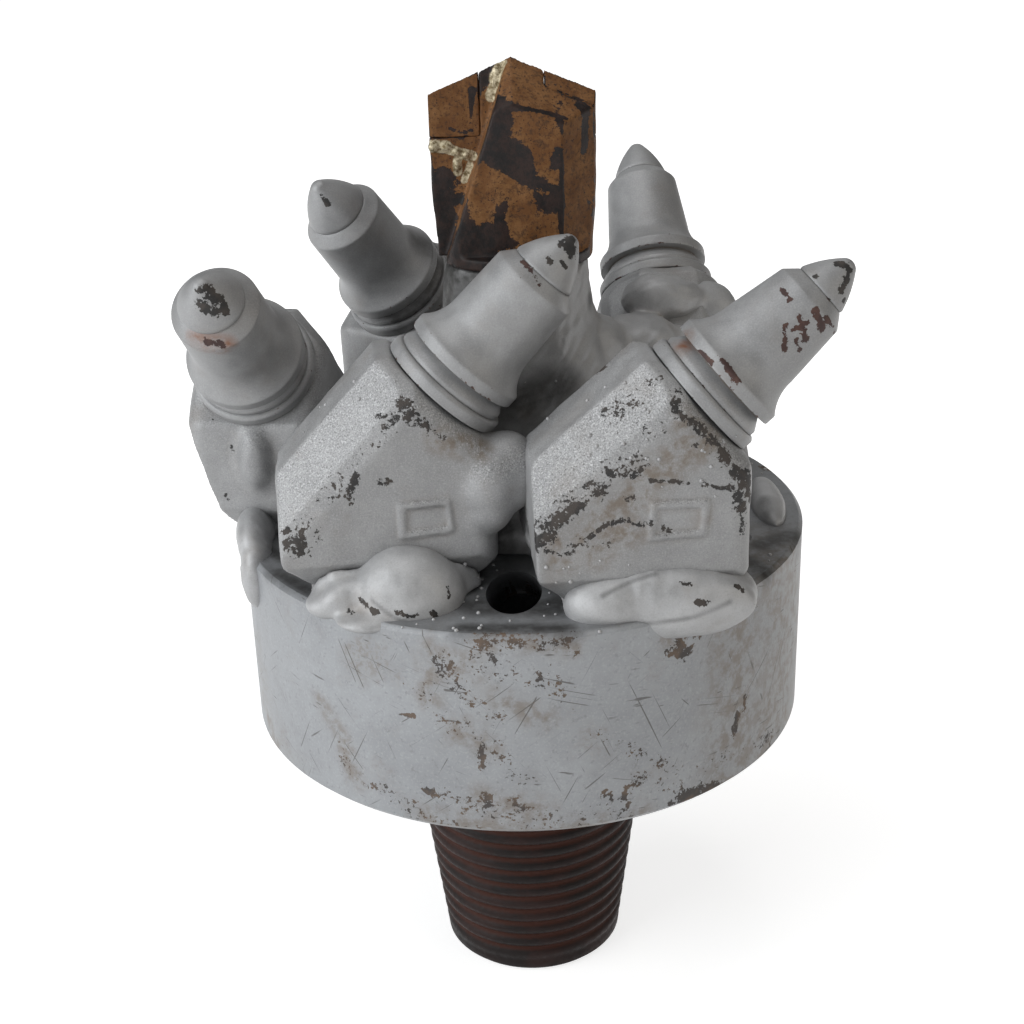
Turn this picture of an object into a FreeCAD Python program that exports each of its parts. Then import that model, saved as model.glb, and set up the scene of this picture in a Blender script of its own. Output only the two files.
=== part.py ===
import FreeCAD, Part
import math
import os
import Sketcher

# Jet grouting bit: a round crown on a tapered drill pin, five round-shank picks in
# weld-on holders, and a two-wing pilot bit on a central hub.
# Row frame: the origin is the centre of the pin's lower end, +Z runs up the drilling
# axis towards the cutters, and the bit turns anticlockwise seen from above.

doc = FreeCAD.newDocument("jet_grouting_bit")
sheet = doc.addObject("Spreadsheet::Sheet", "Dims")

# Driving dimensions of the pin, the crown and the flushing ports, in millimetres and degrees
BODY_SIZES = {
    "pin_length": 86.5,
    "pin_nose_radius": 27.3,
    "pin_base_radius": 38.1,
    "pin_nose_chamfer": 1.5,
    "waterway_radius": 16.0,
    "spigot_length": 14.0,
    "spigot_clearance": 0.02,
    "crown_radius": 80.0,
    "crown_height": 58.0,
    "crown_bottom_chamfer": 2.0,
    "crown_top_chamfer": 1.2,
    "crown_roof": 12.0,
    "port_radius": 7.25,
    "port_tilt": 54.0,
    "port_mouth_radius": 55.5,
    "port_front_azimuth": 267.0,
    "port_right_azimuth": 337.0,
    "port_back_azimuth": 80.0,
}

# Driving dimensions of the hub and the pilot bit that stands on it
PILOT_SIZES = {
    "hub_height": 75.0,
    "hub_base_radius": 35.0,
    "hub_base_land": 6.0,
    "hub_neck_radius": 20.5,
    "hub_neck_start": 50.0,
    "hub_top_radius": 19.5,
    "hub_flank_radius": 62.0,
    "mound_base_radius": 36.0,
    "mound_top_radius": 16.0,
    "mound_height": 70.0,
    "mound_offset": 12.0,
    "mound_sink": 6.0,
    "mound_azimuth": 24.0,
    "mound_lean": 8.0,
    "socket_end_gap": 1.0,
    "pilot_radius": 22.0,
    "pilot_foot_radius": 20.8,
    "pilot_foot_height": 18.0,
    "pilot_height": 52.0,
    "pilot_flat": 15.0,
    "pilot_flat_start": 3.0,
    "pilot_flat_reach": 12.5,
    "pilot_land_slope": 1.1,
    "pilot_point_slope": 0.41,
    "pilot_relief_slope": 0.65,
    "pilot_shank_radius": 10.0,
    "pilot_shank_length": 28.0,
    "pilot_shank_clearance": 0.05,
    "gully_lean": 18.5,
    "gully_top_offset": 0.8,
    "insert_width": 13.5,
    "insert_length": 11.2,
    "insert_thickness": 5.0,
}

# Driving dimensions of the holder block, measured from the centre of its end face
HOLDER_SIZES = {
    "holder_width": 38.0,
    "holder_roof": 19.9,
    "holder_roof_flat": 17.0,
    "holder_shoulder": 9.0,
    "holder_chin": 17.0,
    "holder_tail": 43.5,
    "holder_tail_bevel": 10.0,
    "holder_front_bevel": 8.0,
    "holder_tail_round": 6.0,
    "holder_chin_round": 3.0,
    "holder_prow_round": 6.0,
    "holder_face_chamfer": 2.6,
    "bore_radius": 10.0,
    "bore_depth": 46.0,
    "bore_mouth_chamfer": 1.2,
    "knockout_radius": 5.0,
    "weld_reach": 2.5,
    "weld_end_reach": 3.5,
    "weld_height": 9.0,
    "weld_corner_round": 5.0,
    "weld_rim_reach": 1.5,
}

# Driving dimensions of the pick, its washer, its sleeve and its carbide tip
PICK_SIZES = {
    "washer_gap": 0.3,
    "washer_thickness": 3.6,
    "washer_radius": 17.1,
    "washer_bore_radius": 10.3,
    "washer_edge": 0.8,
    "flange_radius": 15.7,
    "flange_thickness": 1.4,
    "groove_radius": 13.3,
    "groove_length": 3.2,
    "collar_radius": 16.1,
    "collar_length": 3.0,
    "flare_radius": 12.0,
    "waist_radius": 12.3,
    "nose_radius": 11.75,
    "body_length": 28.1,
    "nose_cone_length": 3.3,
    "seat_radius": 8.85,
    "socket_radius": 6.0,
    "socket_depth": 6.0,
    "socket_clearance": 0.05,
    "tip_land": 0.8,
    "tip_length": 12.0,
    "tip_flank_radius": 30.0,
    "tip_round_radius": 2.9,
    "tip_round_width": 2.4,
    "journal_clearance": 0.05,
    "journal_depth": 3.0,
    "neck_radius": 8.45,
    "head_radius": 9.6,
    "head_length": 5.0,
    "head_chamfer": 1.0,
    "shank_depth": 42.0,
    "sleeve_end_gap": 0.3,
    "sleeve_neck_clearance": 0.05,
    "sleeve_bore_clearance": 0.02,
    "sleeve_angle": 338.0,
}

# Where each holder is welded: the centre of its end face by radius and azimuth on the
# crown and height over it, the heading of the pick seen from above, and its rise; then
# how much its pick has worn at the nose and at the tip, and the bevel of its outer foot
STATIONS = {
    "a": {"reach": 41.6, "azimuth": 240.7, "rise": 49.3, "heading": 5.9, "lean": 46.9},
    "b": {"reach": 65.8, "azimuth": 312.3, "rise": 49.2, "heading": 5.8, "lean": 40.7},
    "c": {"reach": 72.7, "azimuth": 184.0, "rise": 46.1, "heading": 260.9, "lean": 42.7},
    "d": {"reach": 60.8, "azimuth": 124.7, "rise": 51.9, "heading": 232.0, "lean": 48.5},
    "e": {"reach": 64.5, "azimuth": 48.6, "rise": 49.3, "heading": 96.6, "lean": 48.7},
}
STATIONS["a"].update(nose_wear=0.0, tip_wear=0.0, bevel=8.0, bevel_height=10.0)
STATIONS["b"].update(nose_wear=1.5, tip_wear=1.5, bevel=8.0, bevel_height=10.0)
STATIONS["c"].update(nose_wear=0.0, tip_wear=1.5, bevel=11.0, bevel_height=36.0)
STATIONS["d"].update(nose_wear=0.0, tip_wear=0.0, bevel=8.0, bevel_height=14.0)
STATIONS["e"].update(nose_wear=1.1, tip_wear=0.5, bevel=8.0, bevel_height=10.0)


def fill_sheet():
    """Write every driving dimension into its own named cell of the sheet."""
    cells = {}
    for group in (BODY_SIZES, PILOT_SIZES, HOLDER_SIZES, PICK_SIZES):
        cells.update(group)
    for station, values in STATIONS.items():
        for name, value in values.items():
            cells["station_{}_{}".format(station, name)] = value
    for row, (alias, value) in enumerate(cells.items(), start=1):
        sheet.set("A{}".format(row), alias)
        sheet.set("B{}".format(row), str(value))
        sheet.setAlias("B{}".format(row), alias)
    doc.recompute()


def worked_out(expression):
    """The number that an expression on the sheet gives now."""
    value = sheet.evalExpression(expression)
    return float(getattr(value, "Value", value))


def name_sizes(text):
    """Put the sheet's name before every #word of a short expression."""
    return text.replace("#", "Dims.")


def new_body(label):
    body = doc.addObject("PartDesign::Body", label)
    body.Label = label
    return body


def origin_plane(body, role):
    """The body's own XY_Plane, XZ_Plane or YZ_Plane."""
    for feature in body.Origin.OriginFeatures:
        if feature.Role == role:
            return feature
    raise ValueError("no plane " + role)


def new_sketch(body, role, name):
    sketch = body.newObject("Sketcher::SketchObject", name)
    sketch.AttachmentSupport = [(origin_plane(body, role), "")]
    sketch.MapMode = "FlatFace"
    return sketch


def turn_sketch(sketch, axis, angle):
    """Turn a sketch about an axis of its own plane by an angle from the sheet."""
    start = FreeCAD.Rotation(FreeCAD.Vector(*axis), 1.0)
    sketch.AttachmentOffset = FreeCAD.Placement(FreeCAD.Vector(), start)
    sketch.setExpression("AttachmentOffset.Rotation.Angle", name_sizes(angle))


def pin_point(sketch, geometry, end, across, up, name):
    """Hold one point of a sketch by its two coordinates, each an expression."""
    for axis, text in (("X", across), ("Y", up)):
        if text == "0":
            line = -2 if axis == "X" else -1
            sketch.addConstraint(Sketcher.Constraint("PointOnObject", geometry, end, line))
            continue
        expression = name_sizes(text)
        kind = "Distance" + axis
        value = worked_out(expression)
        index = sketch.addConstraint(Sketcher.Constraint(kind, -1, 1, geometry, end, value))
        label = "{}_{}".format(name, axis.lower())
        sketch.renameConstraint(index, label)
        sketch.setExpression("Constraints." + label, expression)


def arc_between(start, end, radius, side):
    """A short arc from start to end, bulging to the left (1) or right (-1) of the way.

    Gives the arc, always anticlockwise, and the numbers of its points at start and end.
    """
    chord = end - start
    across = FreeCAD.Vector(-chord.y, chord.x, 0).normalize()
    centre = (start + end) * 0.5 - across * (side * math.sqrt(radius ** 2 - (chord.Length / 2) ** 2))
    first, last = (end, start) if side > 0 else (start, end)
    angles = [math.atan2(point.y - centre.y, point.x - centre.x) for point in (first, last)]
    if angles[1] < angles[0]:
        angles[1] += 2 * math.pi
    circle = Part.Circle(centre, FreeCAD.Vector(0, 0, 1), radius)
    return Part.ArcOfCircle(circle, *angles), (2, 1) if side > 0 else (1, 2)


def draw_outline(sketch, points, arcs=None):
    """Draw a closed outline through points given as pairs of expressions.

    arcs gives, by the number of the side, its radius expression and the side it bulges to.
    """
    arcs = arcs or {}
    count = len(points)
    places = [
        FreeCAD.Vector(worked_out(name_sizes(x)), worked_out(name_sizes(y)), 0)
        for x, y in points
    ]
    first = sketch.GeometryCount
    ends = []
    for number in range(count):
        start, end = places[number], places[(number + 1) % count]
        if number in arcs:
            radius, side = arcs[number]
            arc, order = arc_between(start, end, worked_out(name_sizes(radius)), side)
            sketch.addGeometry(arc, False)
            ends.append(order)
        else:
            sketch.addGeometry(Part.LineSegment(start, end), False)
            ends.append((1, 2))
    for number in range(count):
        following = (number + 1) % count
        sketch.addConstraint(Sketcher.Constraint(
            "Coincident", first + number, ends[number][1], first + following, ends[following][0]))
    for number, (across, up) in enumerate(points):
        pin_point(sketch, first + number, ends[number][0], across, up, "p{}".format(first + number))
    for number, (radius, side) in arcs.items():
        expression = name_sizes(radius)
        index = sketch.addConstraint(
            Sketcher.Constraint("Radius", first + number, worked_out(expression)))
        label = "round_{}".format(first + number)
        sketch.renameConstraint(index, label)
        sketch.setExpression("Constraints." + label, expression)


def revolve(body, sketch, name, cut=False, arc=None):
    """Turn a sketch about its own vertical axis, as a solid or as a cut."""
    kind = "PartDesign::Groove" if cut else "PartDesign::Revolution"
    feature = body.newObject(kind, name)
    feature.Profile = sketch
    feature.ReferenceAxis = (sketch, ["V_Axis"])
    feature.Angle = 360.0
    if arc:
        feature.setExpression("Angle", name_sizes(arc))
    return feature


def cut_through(body, sketch, name):
    """Cut a sketch through the whole solid, both ways from its plane."""
    pocket = body.newObject("PartDesign::Pocket", name)
    pocket.Profile = sketch
    pocket.Type = "ThroughAll"
    pocket.Midplane = True
    return pocket


def check_cut(body, before, what):
    """A pocket or groove counts only if it took metal away."""
    doc.recompute()
    if body.Shape.Volume >= before - 1e-3:
        raise ValueError(what + " cut nothing")


def stand_on_pin(body, height="0"):
    """Place a body on the drilling axis at a height over the pin's end."""
    if height != "0":
        body.setExpression("Placement.Base.z", name_sizes(height))


def stand_at_station(body, station):
    """Place a body at the centre of a holder's end face, with +X along its heading."""
    prefix = "#station_{}_".format(station)
    turned = FreeCAD.Rotation(FreeCAD.Vector(0, 0, 1), 1.0)
    body.Placement = FreeCAD.Placement(FreeCAD.Vector(), turned)
    reach, azimuth = prefix + "reach", prefix + "azimuth"
    rise = "#pin_length + #crown_height + " + prefix + "rise"
    body.setExpression("Placement.Base.x", name_sizes(reach + " * cos(" + azimuth + ")"))
    body.setExpression("Placement.Base.y", name_sizes(reach + " * sin(" + azimuth + ")"))
    body.setExpression("Placement.Base.z", name_sizes(rise))
    body.setExpression("Placement.Rotation.Angle", name_sizes(prefix + "heading"))


def pick_sketch(body, station, name):
    """A sketch in the holder's upright middle plane, its vertical axis along the bore."""
    sketch = new_sketch(body, "XZ_Plane", name)
    turn_sketch(sketch, (0, 0, -1), "90 - #station_{}_lean".format(station))
    return sketch


def boolean_fuse(label, shapes):
    result = doc.addObject("Part::MultiFuse", label)
    result.Shapes = shapes
    return result


def boolean(kind, label, base, tool):
    result = doc.addObject(kind, label)
    result.Base = base
    result.Tool = tool
    result.Label = label
    return result


def largest_solid(label, source):
    """The largest of the solids that a cut has left, without its loose slivers."""
    doc.recompute()
    piece = doc.addObject("Part::Feature", label)
    piece.Shape = max(source.Shape.Solids, key=lambda solid: solid.Volume)
    return piece


# Tapered drill pin with its locating spigot and waterway
def make_threaded_pin():
    body = new_body("threaded_pin")
    sketch = new_sketch(body, "XZ_Plane", "pin_outline")
    draw_outline(sketch, [
        ("#waterway_radius", "0"),
        ("#pin_nose_radius - #pin_nose_chamfer", "0"),
        ("#pin_nose_radius", "#pin_nose_chamfer"),
        ("#pin_base_radius", "#pin_length"),
        ("#pin_base_radius", "#pin_length + #spigot_length"),
        ("#waterway_radius", "#pin_length + #spigot_length"),
    ])
    revolve(body, sketch, "pin_turned")
    return body


# Crown: a thick round body with a chamber over the pin and slanted flushing ports
def make_crown():
    body = new_body("crown_body")
    stand_on_pin(body, "#pin_length")
    socket = "#pin_base_radius + #spigot_clearance"
    floor = "#spigot_length + #spigot_clearance"
    sketch = new_sketch(body, "XZ_Plane", "crown_outline")
    draw_outline(sketch, [
        (socket, "0"),
        ("#crown_radius - #crown_bottom_chamfer", "0"),
        ("#crown_radius", "#crown_bottom_chamfer"),
        ("#crown_radius", "#crown_height - #crown_top_chamfer"),
        ("#crown_radius - #crown_top_chamfer", "#crown_height"),
        ("0", "#crown_height"),
        ("0", "#crown_height - #crown_roof"),
        ("#waterway_radius", "#crown_height - #crown_roof"),
        ("#waterway_radius", floor),
        (socket, floor),
    ])
    revolve(body, sketch, "crown_turned")
    doc.recompute()
    for place in ("front", "right", "back"):
        drill_port(body, place)
    return body


def drill_port(body, place):
    """One slanted port from the chamber's middle out through the crown's top face."""
    volume = body.Shape.Volume
    sketch = new_sketch(body, "XZ_Plane", "port_outline_" + place)
    turn_sketch(sketch, (0, 1, 0), "#port_{}_azimuth".format(place))
    along = ("sin(#port_tilt)", "cos(#port_tilt)")
    depth = "(#port_mouth_radius / sin(#port_tilt))"
    overrun = "(2 * #port_radius)"
    inner = ("#port_mouth_radius - {} * {}".format(depth, along[0]),
             "#crown_height - {} * {}".format(depth, along[1]))
    outer = ("#port_mouth_radius + {} * {}".format(overrun, along[0]),
             "#crown_height + {} * {}".format(overrun, along[1]))
    side = ("#port_radius * " + along[1], "#port_radius * " + along[0])
    draw_outline(sketch, [
        ("0", inner[1]),
        outer,
        ("{} + {}".format(outer[0], side[0]), "{} - {}".format(outer[1], side[1])),
        (side[0], "{} - {}".format(inner[1], side[1])),
    ])
    groove = body.newObject("PartDesign::Groove", "port_" + place)
    groove.Profile = sketch
    groove.ReferenceAxis = (sketch, ["Edge1"])
    groove.Angle = 360.0
    check_cut(body, volume, "port " + place)


# Hub: a flared post welded on the crown, with a socket for the pilot's shank
def make_hub(holders):
    blank = new_body("hub_blank")
    stand_on_pin(blank, "#pin_length + #crown_height")
    sketch = new_sketch(blank, "XZ_Plane", "hub_outline")
    draw_outline(sketch, [
        ("0", "0"),
        ("#hub_base_radius", "0"),
        ("#hub_base_radius", "#hub_base_land"),
        ("#hub_neck_radius", "#hub_neck_start"),
        ("#hub_top_radius", "#hub_height"),
        ("0", "#hub_height"),
    ], {2: ("#hub_flank_radius", 1)})
    revolve(blank, sketch, "hub_turned")
    doc.recompute()
    trimmed = boolean_fuse("hub_mass", [blank, make_mound()])
    for station in ("b", "e", "a"):
        trimmed = boolean("Part::Cut", "hub_beside_" + station, trimmed, holders[station])
    bored = boolean("Part::Cut", "hub_bored", trimmed, make_pilot_socket())
    return largest_solid("hub_post", bored)


def make_mound():
    """The weld mound: a cone that leans from the hub towards the back right of the crown."""
    cone = doc.addObject("Part::Cone", "mound_cone")
    cone.setExpression("Radius1", name_sizes("#mound_base_radius"))
    cone.setExpression("Radius2", name_sizes("#mound_top_radius"))
    cone.setExpression("Height", name_sizes("#mound_height"))
    lean = worked_out("Dims.mound_lean")
    turned = FreeCAD.Rotation(FreeCAD.Vector(0, 0, 1), worked_out("Dims.mound_azimuth"))
    tilted = FreeCAD.Rotation(FreeCAD.Vector(0, 1, 0), -lean)
    cone.Placement = FreeCAD.Placement(FreeCAD.Vector(), turned * tilted)
    offset = "#mound_offset * {}(#mound_azimuth)"
    cone.setExpression("Placement.Base.x", name_sizes(offset.format("cos")))
    cone.setExpression("Placement.Base.y", name_sizes(offset.format("sin")))
    base = "#pin_length + #crown_height"
    cone.setExpression("Placement.Base.z", name_sizes(base + " - #mound_sink"))
    above = doc.addObject("Part::Cylinder", "above_crown")
    above.setExpression("Radius", name_sizes("#crown_radius"))
    above.setExpression("Height", name_sizes("#hub_height"))
    above.setExpression("Placement.Base.z", name_sizes(base))
    return boolean("Part::Common", "mound", cone, above)


def make_pilot_socket():
    """The round space in the hub for the pilot bit's shank."""
    socket = doc.addObject("Part::Cylinder", "pilot_socket")
    socket.setExpression("Radius", name_sizes("#pilot_shank_radius + #pilot_shank_clearance"))
    socket.setExpression("Height", name_sizes("2 * #pilot_shank_length"))
    bottom = "#pin_length + #crown_height + #hub_height - #pilot_shank_length - #socket_end_gap"
    socket.setExpression("Placement.Base.z", name_sizes(bottom))
    return socket


# Pilot bit: round body with a chisel roof, two flats, two gullies and two carbide inserts
def make_pilot():
    blank = new_body("pilot_blank")
    stand_on_pin(blank, "#pin_length + #crown_height + #hub_height")
    sketch = new_sketch(blank, "XZ_Plane", "pilot_outline")
    draw_outline(sketch, [
        ("0", "-#pilot_shank_length"),
        ("#pilot_shank_radius", "-#pilot_shank_length"),
        ("#pilot_shank_radius", "0"),
        ("#pilot_foot_radius", "0"),
        ("#pilot_radius", "#pilot_foot_height"),
        ("#pilot_radius", "#pilot_height"),
        ("0", "#pilot_height"),
    ])
    revolve(blank, sketch, "pilot_turned")
    doc.recompute()
    volume = blank.Shape.Volume
    cuts = [cut_roof(blank), cut_gully(blank), cut_flat(blank)]
    check_cut(blank, volume, "the pilot's roof, gully and flat")
    pair = blank.newObject("PartDesign::PolarPattern", "two_wings")
    pair.Originals = cuts
    pair.Axis = (sketch, ["V_Axis"])
    pair.Angle = 360.0
    pair.Occurrences = 2
    blank.Tip = pair
    doc.recompute()
    return blank


def cut_roof(body):
    """Slope the top down from the middle to each shoulder and down behind the edge."""
    sketch = new_sketch(body, "XZ_Plane", "roof_outline")
    far = "(2 * #pilot_radius)"
    eave = "#pilot_height - {} * #pilot_point_slope".format(far)
    above = "#pilot_height + #pilot_radius"
    draw_outline(sketch, [
        ("0", "#pilot_height"),
        (far, eave),
        (far, above),
        ("-" + far, above),
        ("-" + far, eave),
    ])
    pocket = body.newObject("PartDesign::Pocket", "roof")
    pocket.Profile = sketch
    pocket.Type = "Length"
    pocket.setExpression("Length", name_sizes("3 * #pilot_radius"))
    pocket.UseCustomVector = True
    pocket.Direction = FreeCAD.Vector(0, -1, -worked_out("Dims.pilot_relief_slope"))
    pocket.setExpression("Direction.z", name_sizes("-#pilot_relief_slope"))
    pocket.AlongSketchNormal = False
    return pocket


def cut_gully(body):
    """Clear the space before the left cutting edge, down to a wall that leans outwards."""
    sketch = new_sketch(body, "XZ_Plane", "gully_outline")
    far = "(2 * #pilot_radius)"
    draw_outline(sketch, [
        ("-#gully_top_offset", "#pilot_height"),
        ("-#gully_lean", "0"),
        ("-" + far, "0"),
        ("-" + far, "#pilot_height"),
    ])
    pocket = body.newObject("PartDesign::Pocket", "gully")
    pocket.Profile = sketch
    pocket.Type = "Length"
    pocket.setExpression("Length", name_sizes("2 * #pilot_radius"))
    pocket.Reversed = True
    return pocket


def cut_flat(body):
    """Flatten the side behind a wing, with a slanted land at its outer end."""
    sketch = new_sketch(body, "XY_Plane", "flat_outline")
    far = "(2 * #pilot_radius)"
    draw_outline(sketch, [
        ("-" + far, "-#pilot_flat"),
        ("#pilot_flat_reach", "-#pilot_flat"),
        (far, "-#pilot_flat + ({} - #pilot_flat_reach) * #pilot_land_slope".format(far)),
        (far, "-" + far),
        ("-" + far, "-" + far),
    ])
    sketch.setExpression("AttachmentOffset.Base.z", name_sizes("#pilot_flat_start"))
    pocket = body.newObject("PartDesign::Pocket", "flat")
    pocket.Profile = sketch
    pocket.Type = "Length"
    pocket.Reversed = True
    pocket.setExpression("Length", name_sizes("#pilot_height"))
    return pocket


def insert_space(blank, side):
    """The slot in one wing that its carbide insert fills."""
    slot = doc.addObject("Part::Box", "insert_slot_" + side)
    slot.setExpression("Length", name_sizes("2 * #insert_width"))
    slot.setExpression("Width", name_sizes("#insert_thickness"))
    slot.setExpression("Height", name_sizes("2 * #insert_length"))
    outer = "#pilot_radius - #insert_width"
    across = outer if side == "right" else "-({}) - 2 * #insert_width".format(outer)
    behind = "-#insert_thickness" if side == "right" else "0"
    shoulder = "#pilot_height - #pilot_radius * #pilot_point_slope"
    foot = "#pin_length + #crown_height + #hub_height + {} - #insert_length".format(shoulder)
    slot.setExpression("Placement.Base.x", name_sizes(across))
    if behind != "0":
        slot.setExpression("Placement.Base.y", name_sizes(behind))
    slot.setExpression("Placement.Base.z", name_sizes(foot))
    return slot


def make_pilot_pieces():
    blank = make_pilot()
    steel = blank
    for side in ("left", "right"):
        slot = insert_space(blank, side)
        boolean("Part::Common", "pilot_insert_" + side, blank, slot)
        label = "pilot_bit" if side == "right" else "pilot_half_slotted"
        steel = boolean("Part::Cut", label, steel, slot)
    return steel


# Pick holder: a block cut to stand on the crown, bored for the pick's round shank
def make_holder(station):
    body = new_body("pick_holder_" + station)
    stand_at_station(body, station)
    lean = "#station_{}_lean".format(station)
    foot = "-#station_{}_rise".format(station)
    pad_profile(body, lean, foot)
    doc.recompute()
    round_tail(body, station)
    before = body.Shape.Volume
    chamfer_roof(body, lean)
    check_cut(body, before, "roof chamfers")
    before = body.Shape.Volume
    chamfer_face(body, lean)
    check_cut(body, before, "end face chamfer")
    before = body.Shape.Volume
    bevel_foot(body, station, foot)
    check_cut(body, before, "foot bevels")
    before = body.Shape.Volume
    bore_holder(body, station)
    check_cut(body, before, "bore")
    return body


def pad_profile(body, lean, foot):
    """The side view: end face, roof line, upright tail, foot with bevels, upright front."""
    sketch = new_sketch(body, "XZ_Plane", "side_view")
    front = "#holder_chin * sin({})".format(lean)
    draw_outline(sketch, [
        ("-#holder_roof * sin({})".format(lean), "#holder_roof * cos({})".format(lean)),
        ("-#holder_tail", tail_top(lean)),
        ("-#holder_tail", foot + " + #holder_tail_bevel"),
        ("-#holder_tail + #holder_tail_bevel", foot),
        (front + " - #holder_front_bevel", foot),
        (front, foot + " + #holder_front_bevel"),
        (front, "-#holder_chin * cos({})".format(lean)),
    ])
    pad = body.newObject("PartDesign::Pad", "block")
    pad.Profile = sketch
    pad.Type = "Length"
    pad.Midplane = True
    pad.setExpression("Length", name_sizes("#holder_width"))


def tail_top(lean):
    """Height of the roof line where it meets the tail."""
    return "#holder_roof / cos({0}) - #holder_tail * tan({0})".format(lean)


def edges_across_at(shape, x, z):
    """Names of the edges that run across the block through one point of its side view."""
    names = []
    for number, edge in enumerate(shape.Edges, start=1):
        box = edge.BoundBox
        at_point = abs(box.XMin - x) < 0.01 and abs(box.ZMin - z) < 0.01
        if at_point and box.XLength < 0.01 and box.ZLength < 0.01:
            names.append("Edge{}".format(number))
    return names


def upright_edges_at(shape, x):
    """Names of the upright edges at the front corners of the block."""
    names = []
    for number, edge in enumerate(shape.Edges, start=1):
        box = edge.BoundBox
        if abs(box.XMin - x) < 0.01 and box.XLength < 0.01 and box.YLength < 0.01:
            names.append("Edge{}".format(number))
    return names


def round_tail(body, station):
    """Round the tail's two corners, the corner under the end face and the front corners."""
    lean = "#station_{}_lean".format(station)
    foot = -worked_out("Dims.station_{}_rise".format(station))
    tail = -worked_out("Dims.holder_tail")
    shape = body.Tip.Shape
    tail_edges = edges_across_at(shape, tail, worked_out(name_sizes(tail_top(lean))))
    tail_edges += edges_across_at(shape, tail, foot + worked_out("Dims.holder_tail_bevel"))
    add_round(body, tail_edges, "#holder_tail_round")
    front = worked_out(name_sizes("#holder_chin * sin({})".format(lean)))
    low = worked_out(name_sizes("-#holder_chin * cos({})".format(lean)))
    shape = body.Tip.Shape
    chin_edges = edges_across_at(shape, front, low)
    chin_edges += edges_across_at(shape, front, foot + worked_out("Dims.holder_front_bevel"))
    add_round(body, chin_edges, "#holder_chin_round")
    shape = body.Tip.Shape
    add_round(body, upright_edges_at(shape, front), "#holder_prow_round")


def add_round(body, edges, radius):
    base = body.Tip
    fillet = body.newObject("PartDesign::Fillet", "rounded")
    fillet.Base = (base, edges)
    fillet.setExpression("Radius", name_sizes(radius))
    body.Tip = fillet
    doc.recompute()


def chamfer_roof(body, lean):
    """Two long flats along the bore give the barrel its eight-sided look."""
    sketch = new_sketch(body, "XY_Plane", "roof_flats")
    turn_sketch(sketch, (0, 1, 0), "90 - " + lean)
    run = "(#holder_width - #holder_roof_flat) / 2"
    drop = "(#holder_roof - #holder_shoulder)"
    top = "-#holder_roof"
    for side in ("", "-"):
        draw_outline(sketch, [
            (top + " + " + drop, side + "#holder_width / 2"),
            (top, side + "#holder_roof_flat / 2"),
            (top + " - " + drop, side + "(#holder_roof_flat / 2 - {})".format(run)),
            (top + " - " + drop, side + "(#holder_width / 2 + {})".format(run)),
            (top + " + " + drop, side + "(#holder_width / 2 + {})".format(run)),
        ])
    cut_through(body, sketch, "roof_chamfers")


def chamfer_face(body, lean):
    """Break the edges of the end face all round."""
    along = math.radians(worked_out(name_sizes(lean)))
    normal = FreeCAD.Vector(math.cos(along), 0, math.sin(along))
    shape = body.Tip.Shape
    for number, face in enumerate(shape.Faces, start=1):
        middle = face.CenterOfMass
        if abs(middle * normal) < 0.01 and face.Surface.TypeId == "Part::GeomPlane":
            break
    base = body.Tip
    chamfer = body.newObject("PartDesign::Chamfer", "face_chamfer")
    chamfer.Base = (base, ["Face{}".format(number)])
    chamfer.setExpression("Size", name_sizes("#holder_face_chamfer"))
    body.Tip = chamfer
    doc.recompute()


def bevel_foot(body, station, foot):
    """Weld bevels along both sides of the foot, the outer one to suit its place."""
    prefix = "#station_{}_".format(station)
    sketch = new_sketch(body, "YZ_Plane", "side_bevels")
    half = "#holder_width / 2"
    inner_bevel = ("", "#holder_front_bevel", "#holder_tail_bevel")
    outer_bevel = ("-", prefix + "bevel", prefix + "bevel_height")
    for side, width, height in (inner_bevel, outer_bevel):
        draw_outline(sketch, [
            ("{}({} - {})".format(side, half, width), foot),
            ("{}({})".format(side, half), "{} + {}".format(foot, height)),
            ("{}({} + {})".format(side, half, width), foot),
        ])
    cut_through(body, sketch, "foot_bevels")


def bore_holder(body, station):
    """The pick's bore with a chamfered mouth, and a knock-out hole through the tail."""
    sketch = pick_sketch(body, station, "bore_outline")
    draw_outline(sketch, [
        ("0", "#bore_radius"),
        ("#bore_radius + 2 * #bore_mouth_chamfer", "#bore_mouth_chamfer"),
        ("#bore_radius", "-#bore_mouth_chamfer"),
        ("#bore_radius", "-#bore_depth"),
        ("#knockout_radius", "-#bore_depth"),
        ("#knockout_radius", "-2 * #bore_depth"),
        ("0", "-2 * #bore_depth"),
    ])
    revolve(body, sketch, "bore", cut=True)


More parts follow.
